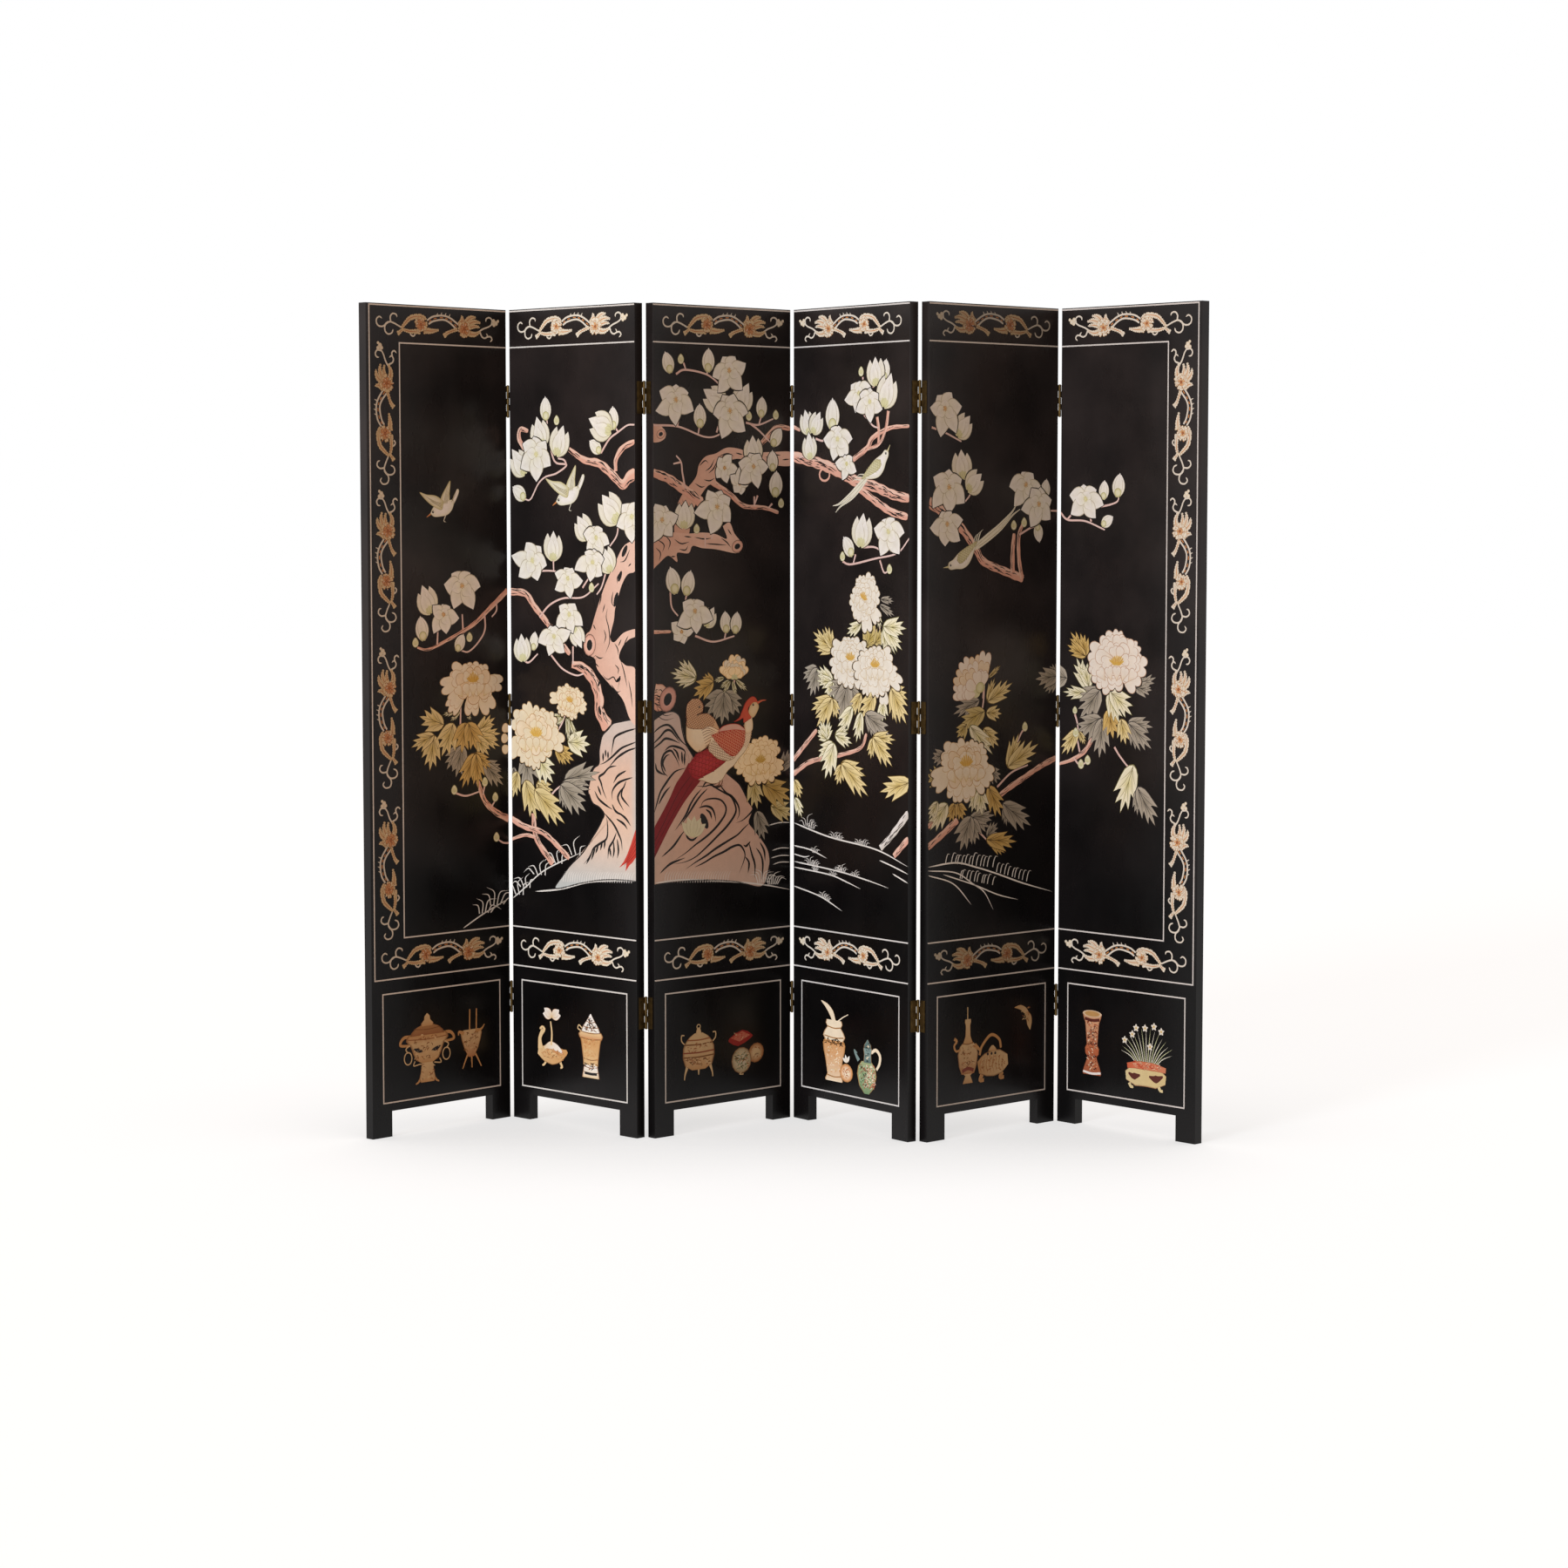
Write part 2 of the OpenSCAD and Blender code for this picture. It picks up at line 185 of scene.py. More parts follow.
class Canvas:
    """The front face of one leaf and the thin relief of paint on it."""

    def __init__(self, number):
        mesh = frame["nodes"][f"leaf_{number}_front_board"].data
        normal = max(mesh.polygons, key=lambda p: p.area).normal
        back = Vector((normal.x, normal.y, 0)).normalized()
        self.back = -back if back.y < 0 else back
        self.right = Vector((self.back.y, -self.back.x, 0))
        across = [v.co.dot(self.right) for v in mesh.vertices]
        deep = [v.co.dot(self.back) for v in mesh.vertices]
        self.number = number
        self.mesh = mesh
        self.width = (max(across) - min(across)) / MM
        self.top = max(v.co.z for v in mesh.vertices) / MM
        self.origin = self.right * min(across) + self.back * min(deep)
        self.depth = [(d - min(deep)) / MM for d in deep]
        cells = (int(self.top / CELL) + 2, int(self.width / CELL) + 2)
        self.level = np.zeros(cells)
        self.lines = np.zeros(cells)
        self.pieces = {}
        self.kind = ""
        self.rng = random.Random(number)

    def use(self, kind):
        """Starts or goes on with the piece that the next shapes belong to."""
        self.kind = kind
        self.pieces.setdefault(kind, ([], [], []))

    def add(self, points, tints, faces):
        """Adds a closed shape to the present piece: rows of x, z, height, their colours, and faces."""
        all_points, all_tints, all_faces = self.pieces[self.kind]
        first = sum(len(p) for p in all_points)
        all_points.append(np.asarray(points, float))
        all_tints.append(np.asarray(tints, float))
        all_faces.extend(tuple(first + i for i in face) for face in faces)

    def rise(self, outline, fine):
        """Height of a new layer inside an outline, just above the paint that is there already.

        Fine lines don't lift each other, because lines that cross have one colour.
        """
        ends = np.roll(outline, -1, axis=0)
        first = np.maximum(np.floor(outline.min(axis=0) / CELL).astype(int) - 1, 0)
        last = np.floor(outline.max(axis=0) / CELL).astype(int) + 2
        cols = np.arange(first[0], min(last[0] + 1, self.level.shape[1]))
        rows = np.arange(first[1], min(last[1] + 1, self.level.shape[0]))
        if len(cols) == 0 or len(rows) == 0:
            return BASE
        x, z = np.meshgrid((cols + 0.5) * CELL, (rows + 0.5) * CELL)
        a, b = outline[:, :, None, None], ends[:, :, None, None]
        crosses = (a[:, 1] > z) != (b[:, 1] > z)
        height = np.where(np.abs(b[:, 1] - a[:, 1]) < 1e-9, 1e-9, b[:, 1] - a[:, 1])
        left = x < a[:, 0] + (z - a[:, 1]) * (b[:, 0] - a[:, 0]) / height
        inside = np.count_nonzero(crosses & left, axis=0) % 2 == 1
        for start, end in zip(outline, ends):
            steps = int(np.linalg.norm(end - start) / CELL) + 1
            on = start + (end - start) * np.linspace(0, 1, steps, endpoint=False)[:, None]
            place = np.floor(on / CELL).astype(int) - [cols[0], rows[0]]
            place = place[(place >= 0).all(axis=1)]
            place = place[(place[:, 0] < len(cols)) & (place[:, 1] < len(rows))]
            inside[place[:, 1], place[:, 0]] = True
        grown = np.pad(inside, 1)
        grown = grown[1:-1, 1:-1] | grown[:-2, 1:-1] | grown[2:, 1:-1] | grown[1:-1, :-2] | grown[1:-1, 2:]
        window = slice(rows[0], rows[-1] + 1), slice(cols[0], cols[-1] + 1)
        under = self.level[window] if fine else np.maximum(self.level[window], self.lines[window])
        if not grown.any():
            return BASE
        top = max(BASE, under[grown].max() + STEP)
        target = self.lines if fine else self.level
        target[window] = np.where(grown, np.maximum(target[window], top), target[window])
        return top

    def strip(self, path, half, tints, fine=False):
        """A closed band along a path, half as wide to each side as half says."""
        path = np.asarray(path, float)
        half = np.maximum(half, THIN)
        along = np.gradient(path, axis=0)
        along /= np.maximum(np.linalg.norm(along, axis=1), 1e-9)[:, None]
        side = np.stack([-along[:, 1], along[:, 0]], axis=1) * half[:, None]
        count, columns = tints.shape[:2]
        places = np.array(COLUMNS[columns])
        right, left = path - side, path + side
        top = self.rise(np.vstack([right, left[::-1]]), fine)
        grid = path[:, None, :] + side[:, None, :] * places[None, :, None]
        upper = np.concatenate([grid, np.full((count, columns, 1), top)], axis=2).reshape(-1, 3)
        lower = np.hstack([np.stack([right, left], axis=1).reshape(-1, 2), np.zeros((2 * count, 1))])
        under = tints[:, [0, -1]].reshape(-1, 3)
        faces = []
        bottom = count * columns
        for i in range(count - 1):
            a, b = i * columns, (i + 1) * columns
            c, d = bottom + 2 * i, bottom + 2 * (i + 1)
            faces += [(a + j, b + j, b + j + 1, a + j + 1) for j in range(columns - 1)]
            faces += [(c, c + 1, d + 1, d), (c, d, b, a), (a + columns - 1, b + columns - 1, d + 1, c + 1)]
        last = (count - 1) * columns
        faces.append(tuple(range(columns)) + (bottom + 1, bottom))
        faces.append(tuple(range(last + columns - 1, last - 1, -1))
                     + (bottom + 2 * count - 2, bottom + 2 * count - 1))
        self.add(np.vstack([upper, lower]), np.vstack([tints.reshape(-1, 3), under]), faces)

    def line(self, points, width, tint, taper=(0, 0), fine=True, step=4.0):
        """A line of one colour, thinned out over a share of its length at its start and its end."""
        path = curve(points, step)
        t = np.linspace(0, 1, len(path))
        half = spread(width, len(path)) / 2
        if taper[0]:
            half = half * np.minimum(t / taper[0], 1) ** 0.6
        if taper[1]:
            half = half * np.minimum((1 - t) / taper[1], 1) ** 0.6
        self.strip(path, half, np.broadcast_to(tint, (len(path), 2, 3)), fine)

    def stroke(self, points, width, tint, taper=(0, 0)):
        """A thick line, a layer of its own that what comes later lies on."""
        self.line(points, width, tint, taper, fine=False)

    def disc(self, outline, centre, rings, fine=False):
        """A closed shape of rings about its centre; rings is a list of (share of the outline, colour)."""
        outline = np.asarray(outline, float)
        centre = np.asarray(centre, float)
        count = len(outline)
        top = self.rise(outline, fine)
        points, tints, faces = [], [], []
        for share, tint in rings:
            ring = centre + (outline - centre) * share
            points.append(np.hstack([ring, np.full((count, 1), top)]))
            tints.append(np.broadcast_to(tint, (count, 3)))
        middle = len(rings) * count
        points.append([[centre[0], centre[1], top]])
        tints.append(np.asarray(tints[-1]).mean(axis=0)[None, :])
        points.append(np.hstack([outline, np.zeros((count, 1))]))
        tints.append(tints[0])
        bottom = middle + 1
        for i in range(count):
            j = (i + 1) % count
            for k in range(len(rings) - 1):
                a, b = k * count, (k + 1) * count
                faces.append((a + i, a + j, b + j, b + i))
            inner = (len(rings) - 1) * count
            faces += [(inner + i, inner + j, middle), (bottom + i, bottom + j, j, i)]
        faces.append(tuple(range(bottom + count - 1, bottom - 1, -1)))
        self.add(np.vstack(points), np.vstack(tints), faces)

    def patch(self, outline, tints):
        """A closed flat shape of any outline, with one colour or a colour for each of its points."""
        outline = np.asarray(outline, float)
        ends = np.roll(outline, -1, axis=0)
        if (outline[:, 0] * ends[:, 1] - ends[:, 0] * outline[:, 1]).sum() < 0:
            outline = outline[::-1]
            tints = tints[::-1] if np.ndim(tints) > 1 else tints
        count = len(outline)
        top = self.rise(outline, False)
        triangles = tessellate_polygon([[Vector((x, z, 0)) for x, z in outline]])
        faces = []
        for a, b, c in triangles:
            ab, ac = outline[b] - outline[a], outline[c] - outline[a]
            if ab[0] * ac[1] - ab[1] * ac[0] < 0:
                b, c = c, b
            faces += [(a, b, c), (count + c, count + b, count + a)]
        faces += [(count + i, count + (i + 1) % count, (i + 1) % count, i) for i in range(count)]
        upper = np.hstack([outline, np.full((count, 1), top)])
        lower = np.hstack([outline, np.zeros((count, 1))])
        tints = np.broadcast_to(tints, (count, 3))
        self.add(np.vstack([upper, lower]), np.vstack([tints, tints]), faces)

    def build(self, slots):
        """Makes each piece's object, with its colours in an attribute that the paints read."""
        right, back = np.array(self.right), np.array(self.back)
        for kind, (points, tints, faces) in self.pieces.items():
            if not faces:
                continue
            p = np.vstack(points)
            p[:, 0] = np.clip(p[:, 0], MARGIN, self.width - MARGIN)
            world = np.array(self.origin) + (p[:, :1] * right - p[:, 2:] * back) * MM
            world[:, 2] = p[:, 1] * MM
            # painted shade: the leaf's factor times the kind's factor darkens and tints the paint
            tone_shift = np.array(LEAF_SHADE_AND_TINT[self.number]) * LIGHTNESS.get(kind, {}).get(self.number, 1)
            if kind == "ground":
                # its white takes less of the painted shade
                tone_shift = tone_shift ** 0.5
            tints = np.minimum(np.vstack(tints) * tone_shift, 1)
            make_piece(f"leaf_{self.number}_{kind}", world, tints, faces, f"leaf_{self.number}",
                       slots[kind])


def make_piece(name, points, tints, faces, body, slot):
    """A new piece with its colours, its paint, its body and its slot."""
    mesh = bpy.data.meshes.new(name)
    mesh.from_pydata(points.tolist(), [], faces)
    tint = mesh.attributes.new("tint", "FLOAT_COLOR", "POINT")
    tint.data.foreach_set("color", np.hstack([tints, np.ones((len(tints), 1))]).astype("f4").ravel())
    mesh.materials.append(materials[slot])
    mesh.update()
    piece = bpy.data.objects.new(name, mesh)
    bpy.context.scene.collection.objects.link(piece)
    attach(piece, body)


# Materials


def new_material(name):
    """A material with its nodes, its links and its shader."""
    made = bpy.data.materials.new(name)
    made.use_nodes = True
    nodes = made.node_tree.nodes
    return made, nodes, made.node_tree.links, nodes["Principled BSDF"]


def noise(nodes, links, scale, detail=4.0, stretch=(1, 1, 1)):
    """Noise in object space, which is the frame's own, stretched along an axis where a grain runs."""
    place = nodes.new("ShaderNodeTexCoord")
    mapping = nodes.new("ShaderNodeMapping")
    mapping.inputs["Scale"].default_value = stretch
    texture = nodes.new("ShaderNodeTexNoise")
    texture.inputs["Scale"].default_value = scale
    texture.inputs["Detail"].default_value = detail
    links.new(place.outputs["Object"], mapping.inputs["Vector"])
    links.new(mapping.outputs["Vector"], texture.inputs["Vector"])
    return texture.outputs["Fac"]


def ramp(nodes, links, source, low, high, stops):
    """Colours or greys spread over a part of the source's range."""
    made = nodes.new("ShaderNodeValToRGB")
    made.color_ramp.elements[0].position = low
    made.color_ramp.elements[1].position = high
    for element, stop in zip(made.color_ramp.elements, stops):
        element.color = (*stop, 1) if np.ndim(stop) else (stop, stop, stop, 1)
    links.new(source, made.inputs["Fac"])
    return made.outputs["Color"]


def bump(nodes, links, shader, source, strength, distance):
    """Relief of the surface from a grey source."""
    made = nodes.new("ShaderNodeBump")
    made.inputs["Strength"].default_value = strength
    made.inputs["Distance"].default_value = distance
    links.new(source, made.inputs["Height"])
    links.new(made.outputs["Normal"], shader.inputs["Normal"])


def paint_material(name, roughness):
    """Matt paint over incised gesso: the drawing's tint, mottled, with a fine brush texture."""
    made, nodes, links, shader = new_material(name)
    tint = nodes.new("ShaderNodeAttribute")
    tint.attribute_name = "tint"
    mottle = ramp(nodes, links, noise(nodes, links, 55, 6), 0.3, 0.7, (0.92, 1.0))
    speck = ramp(nodes, links, noise(nodes, links, 420, 3), 0.3, 0.62, (0.94, 1.0))
    product = mottle
    for factor in (speck, tint.outputs["Color"]):
        mix = nodes.new("ShaderNodeMix")
        mix.data_type = "RGBA"
        mix.blend_type = "MULTIPLY"
        mix.inputs["Factor"].default_value = 1
        links.new(product, mix.inputs["A"])
        links.new(factor, mix.inputs["B"])
        product = mix.outputs["Result"]
    links.new(product, shader.inputs["Base Color"])
    links.new(ramp(nodes, links, noise(nodes, links, 90), 0.3, 0.7, (roughness - 0.1, roughness + 0.1)),
              shader.inputs["Roughness"])
    bump(nodes, links, shader, noise(nodes, links, 700, 5), 0.25, 0.0004)
    shader.inputs["Specular IOR Level"].default_value = 0.35
    return made


# The lacquer's painted sheen, which makes it lighter towards the top, grows between these heights, in
# metres
SHEEN_HEIGHTS = (0.45, 1.2)


def lacquer_material():
    """Deep satin black lacquer with soft unevenness in its gloss, and a painted sheen that makes it a
    little lighter towards the top.
    """
    made, nodes, links, shader = new_material("black_lacquer")
    cloud = noise(nodes, links, 6, 5)
    place = nodes.new("ShaderNodeTexCoord")
    split = nodes.new("ShaderNodeSeparateXYZ")
    links.new(place.outputs["Object"], split.inputs["Vector"])
    height = nodes.new("ShaderNodeMapRange")
    height.interpolation_type = "SMOOTHSTEP"
    height.inputs["From Min"].default_value = SHEEN_HEIGHTS[0]
    height.inputs["From Max"].default_value = SHEEN_HEIGHTS[1]
    links.new(split.outputs["Z"], height.inputs["Value"])
    # painted sheen: a darker base colour low down and a lighter one high up
    painted_sheen = nodes.new("ShaderNodeMix")
    painted_sheen.data_type = "RGBA"
    links.new(height.outputs["Result"], painted_sheen.inputs["Factor"])
    links.new(ramp(nodes, links, cloud, 0.35, 0.75, (colour("080707"), colour("131010"))), painted_sheen.inputs["A"])
    links.new(ramp(nodes, links, cloud, 0.35, 0.75, (colour("1c1817"), colour("2f2826"))), painted_sheen.inputs["B"])
    links.new(painted_sheen.outputs["Result"], shader.inputs["Base Color"])
    gloss = ramp(nodes, links, noise(nodes, links, 14, 6, (1, 1, 0.4)), 0.25, 0.8, (0.22, 0.36))
    links.new(gloss, shader.inputs["Roughness"])
    bump(nodes, links, shader, noise(nodes, links, 35, 3), 0.12, 0.0012)
    shader.inputs["Specular IOR Level"].default_value = 0.2
    return made


def wood_material():
    """Dark stained softwood with its grain upright."""
    made, nodes, links, shader = new_material("frame_wood")
    grain = noise(nodes, links, 60, 8, (1, 1, 0.06))
    links.new(ramp(nodes, links, grain, 0.3, 0.75, (colour("1c120c"), colour("3a2618"))),
              shader.inputs["Base Color"])
    links.new(ramp(nodes, links, grain, 0.3, 0.7, (0.35, 0.5)), shader.inputs["Roughness"])
    bump(nodes, links, shader, grain, 0.2, 0.0006)
    return made


def brass_material():
    """Brown aged brass, unevenly dulled."""
    made, nodes, links, shader = new_material("aged_brass")
    tone_shift = noise(nodes, links, 90, 6)
    links.new(ramp(nodes, links, tone_shift, 0.3, 0.75, (colour("3c2e1a"), colour("66502e"))),
              shader.inputs["Base Color"])
    links.new(ramp(nodes, links, tone_shift, 0.3, 0.7, (0.5, 0.4)), shader.inputs["Roughness"])
    bump(nodes, links, shader, tone_shift, 0.15, 0.0003)
    shader.inputs["Metallic"].default_value = 1
    return made


materials = {
    "black_lacquer": lacquer_material(),
    "frame_wood": wood_material(),
    "aged_brass": brass_material(),
    "cream_paint": paint_material("cream_paint", 0.5),
    "pink_paint": paint_material("pink_paint", 0.55),
    "leaf_paint": paint_material("leaf_paint", 0.55),
    "red_paint": paint_material("red_paint", 0.5),
}


def dress_frame():
    """Gives each CAD node the finish of its kind."""
    for name, node in frame["nodes"].items():
        if "hinge" in name:
            finish = "aged_brass"
        elif "rail" in name:
            finish = "frame_wood"
        else:
            finish = "black_lacquer"
        node.data.materials.clear()
        node.data.materials.append(materials[finish])


# Flowers, leaves and branches


# How far the outer petals of a magnolia seen from the side lean out, in degrees
CUP_SPREAD = 32

# Half widths of a pointed petal at even places from its root to its tip
PETAL_SHAPE = np.array([0.34, 0.62, 0.86, 1.0, 1.0, 0.89, 0.67, 0.36, 0.0])


def petal(art, x, z, angle, length, width, paint, bend=0.0, vein=0.12):
    """A pointed petal from its root at x, z; angle in degrees, 0 to the right and 90 up."""
    t = np.linspace(0, 1, len(PETAL_SHAPE))
    heading = np.radians(angle + bend * (t - 0.4))
    path = np.stack([x + length * t * np.cos(heading), z + length * t * np.sin(heading)], axis=1)
    art.strip(path, width / 2 * PETAL_SHAPE, shade(len(t), paint, vein))


def frill(art, x, z, angle, length, width, paint, lobes=2):
    """A fan-shaped petal with a thin outline, whose round outer edge has one or more scallops."""
    root, tip, edge = paint
    half = math.atan2(width * 0.5, length * 0.8)
    a = np.linspace(-1, 1, 6 * lobes + 3)
    scallops = np.abs(np.sin(math.pi * lobes * (a + 1) / 2))
    reach = length * (0.7 + 0.16 * np.sqrt(1 - a * a) + 0.14 * scallops ** 0.6)
    fan = [(0, 0), (length * 0.45 * math.cos(half), -length * 0.45 * math.sin(half))]
    fan += [(r * math.cos(half * k), r * math.sin(half * k)) for k, r in zip(a, reach)]
    fan.append((length * 0.45 * math.cos(half), length * 0.45 * math.sin(half)))
    centre = turned([(length * 0.6, 0)], x, z, angle)[0]
    share = np.array([(u / length) ** 0.6 for u, _ in fan])[:, None]
    body = root + (tip - root) * np.minimum(share, 1)
    rim = 1 - min(1.0 / (0.4 * length), 0.16)
    art.disc(turned(fan, x, z, angle), centre,
             [(1, edge), (rim, edge), (rim - 0.04, body), (0.3, root + (tip - root) * 0.75)])


def ball(x, z, radius, count=14, stretch=1.0, angle=0.0, point=0.0):
    """Outline of a round or egg-shaped spot, with an optional point at its far end."""
    around = np.radians(np.arange(count) * 360 / count)
    far = 1 + point * np.maximum(np.cos(around), 0) ** 6
    p = np.stack([radius * stretch * far * np.cos(around), radius * np.sin(around)], axis=1)
    return turned(p, x, z, angle)


def spot(art, x, z, radius, paint, stretch=1.0, angle=0.0, point=0.0):
    """A small round shape with its outline."""
    root, tip, edge = paint
    art.disc(ball(x, z, radius, 14, stretch, angle, point), (x, z), [(1, edge), (0.85, root), (0.4, tip)])


def reach_to(angle, offset, wide, tall):
    """How far an ellipse's edge is from a point inside it, in the direction of angle in radians."""
    c, s = math.cos(angle) / wide * 2, math.sin(angle) / tall * 2
    u, v = offset[0] / wide * 2, offset[1] / tall * 2
    along, square = u * c + v * s, c * c + s * s
    return (math.sqrt(along * along + square * (1 - u * u - v * v)) - along) / square


def cut_out(art, x, z, placed, border=2.2):
    """Petals from one root inside a cut line of bare lacquer: angle, length, width, paint, bend."""
    for angle, length, width, _, bend in placed:
        petal(art, x, z, angle, length + border, width + 2 * border, [INK] * 3, bend, 0)
    for angle, length, width, paint, bend in placed:
        petal(art, x, z, angle, length, width, paint, bend)


def magnolia(art, x, z, wide, tall, turn, petals):
    """An open magnolia: broad pointed petals about a heart that lies towards turn."""
    rng = art.rng
    mean = (wide + tall) / 2
    offset = (0.12 * mean * math.cos(math.radians(turn)), 0.12 * mean * math.sin(math.radians(turn)))
    x, z = x + offset[0], z + offset[1]
    placed = []
    for ring, share, count in ((0, 1.14, petals), (1, 0.62, 3)):
        for k in sorted(range(count), key=lambda k: abs(k - count / 2 + 0.3) * (1 if ring else -1)):
            angle = turn + 180 + 360 * (k + 0.5 - count / 2 + 0.4 * ring) / count + rng.uniform(-8, 8)
            reach = share * reach_to(math.radians(angle), offset, wide, tall) * rng.uniform(0.93, 1.07)
            width = mean * (0.46 if ring == 0 else 0.33) * rng.uniform(0.9, 1.12)
            placed.append((angle, reach, width, PETAL, rng.uniform(-18, 18)))
    cut_out(art, x, z, placed)
    heart(art, x, z, mean * 0.06)


def heart(art, x, z, size):
    """Stamens in the middle of a flower: pale yellow, and on the odd leaves amber, a copy in painted shade.
    """
    # painted shade: the odd leaves face away from the key light
    paint = POLLEN_SHADED if art.number % 2 else POLLEN
    for k in range(9):
        angle = 40 * k + art.rng.uniform(-10, 10)
        tip = turned([(size, 0)], x, z, angle)[0]
        art.line([(x, z), tip], 1.2, paint[0], (0, 0.3))
        art.disc(ball(*tip, 1.3, 8), tip, [(1, paint[2]), (0.5, paint[0])], fine=True)
    spot(art, x, z, size * 0.6, paint)


def cup(art, x, z, size, turn):
    """A magnolia seen from the side, opening towards turn; size is its height."""
    base = turned([(-size * 0.46, 0)], x, z, turn)[0]
    placed = []
    for lean in (-1, 1, 0):
        length = size * (0.92 + 0.1 * (1 - abs(lean))) * art.rng.uniform(0.94, 1.06)
        placed.append((turn - lean * CUP_SPREAD, length, size * 0.52, PETAL_SHADE if lean else PETAL,
                       lean * 24))
    for lean in (-1, 1):
        placed.append((turn + lean * CUP_SPREAD * 0.5, size * 0.78, size * 0.46, PETAL, lean * -14))
    cut_out(art, *base, placed)
    for lean in (-34, 34, 0):
        petal(art, *base, turn + lean, size * 0.28, size * 0.22, CALYX)


def bud(art, x, z, size, turn):
    """A closed flower: pointed petals over a round yellow-green cup."""
    base = turned([(-size * 0.48, 0)], x, z, turn)[0]
    cut_out(art, *base, [(turn + lean, size * (1.02 - abs(lean) * 0.004), size * 0.46, PETAL, -lean * 1.2)
                         for lean in (-17, 17, 0)])
    low = turned([(-size * 0.3, 0)], x, z, turn)[0]
    spot(art, *low, size * 0.2, [CALYX[0], PETAL[0], CALYX[2]], 1.0, turn)


def knob(art, x, z, radius=9):
    """A small round bud that opens upwards."""
    spot(art, x, z, radius, [CALYX[1], PETAL[1], CALYX[2]], 1.1, 90, 0.3)
    base = turned([(-radius * 0.5, 0)], x, z, 90)[0]
    for lean in (24, -24):
        petal(art, *base, 90 + lean, radius * 1.4, radius * 0.9, CALYX, -20 if lean > 0 else 20)


def stamens(art, x, z, wide, turn=0):
    """The yellow heart of a peony: short strokes that fan out from its foot."""
    for k in (-4, 4, -3, 3, -2, 2, -1, 1, 0):
        foot = (k * wide * 0.05, -wide * 0.3)
        length = wide * (0.72 - 0.05 * abs(k)) * art.rng.uniform(0.88, 1.08)
        lean = math.radians(k * 13)
        points = turned([foot, (foot[0] + length * math.sin(lean), foot[1] + length * math.cos(lean))], x,
                        z, turn)
        art.stroke(points, (wide * 0.07, wide * 0.13), GOLD if k % 2 else colour("ecc860"), (0, 0.1))
        art.line(points, 0.8, ORANGE, (0.3, 0.3))


def peony(art, x, z, wide, tall, turn=0, heart_at=(0.02, 0.1), paint=PEONY, inner=PEONY_INNER):
    """A full peony: rings of scalloped petals about a heart that is a share of its size off its middle."""
    rng = art.rng
    mean = (wide + tall) / 2
    offset = (wide * heart_at[0], tall * heart_at[1])
    x, z = x + offset[0], z + offset[1]
    rings = ((1.08, 10, 0.33), (0.88, 9, 0.31), (0.68, 8, 0.27), (0.47, 6, 0.22))
    placed = []
    for number, (share, count, breadth) in enumerate(rings):
        for k in range(count):
            angle = turn + 90 + 360 * (k + 0.5 * (number % 2)) / count + rng.uniform(-10, 10)
            reach = share * reach_to(math.radians(angle), offset, wide, tall) * rng.uniform(0.84, 1.08)
            placed.append((angle, reach, mean * breadth * rng.uniform(0.86, 1.15),
                           inner if number == 2 else paint,
                           rng.choice((2, 2, 3) if number < 2 else (1, 2))))
    for angle, reach, width, _, lobes in placed[:rings[0][1]]:
        frill(art, x, z, angle, reach + 3, width + 3, [INK] * 3, lobes)
    for petal_of in placed:
        frill(art, x, z, *petal_of)
    stamens(art, x, z, mean * 0.22, turn)
    for lean in (-56, 56, -26, 26, 0):
        start = turned([(-lean * mean * 0.0036, -mean * 0.29)], x, z, turn)[0]
        frill(art, *start, 90 + turn + lean * 0.7, mean * 0.22, mean * 0.2, paint, rng.choice((1, 2)))


def side_peony(art, x, z, wide, tall, turn, paint, inner):
    """A peony seen from the side, opening towards turn: large petals that fold up from a cup of sepals."""
    rng = art.rng
    base = turned([(-tall * 0.38, 0)], x, z, turn)[0]
    for share, count, breadth in ((1.02, 5, 0.44), (0.84, 4, 0.42), (0.66, 3, 0.4)):
        for k in range(count):
            lean = (k / (count - 1) - 0.5) * 2
            length = tall * 0.9 * share * (1 - 0.12 * abs(lean)) * rng.uniform(0.92, 1.08)
            frill(art, *base, turn - lean * 50, length, wide * breadth, inner if k % 2 else paint, 2)
    for lean in (-56, 56, -24, 24):
        frill(art, *base, turn + lean, tall * 0.46, wide * 0.36, paint, rng.choice((1, 2)))
    for lean in (-84, -42, 0, 42, 84):
        petal(art, *base, turn + lean, tall * 0.2, tall * 0.1, CALYX)


# One side of a blade with two teeth, from its stalk to its tip, in shares of its length and of its width
BLADE = [(0, 0.03), (0.05, 0.2), (0.16, 0.36), (0.32, 0.45), (0.48, 0.51), (0.6, 0.55), (0.72, 0.6),
         (0.62, 0.4), (0.58, 0.26), (0.7, 0.31), (0.81, 0.35), (0.92, 0.36), (0.82, 0.2), (0.78, 0.1),
         (0.9, 0.08), (1.06, 0)]


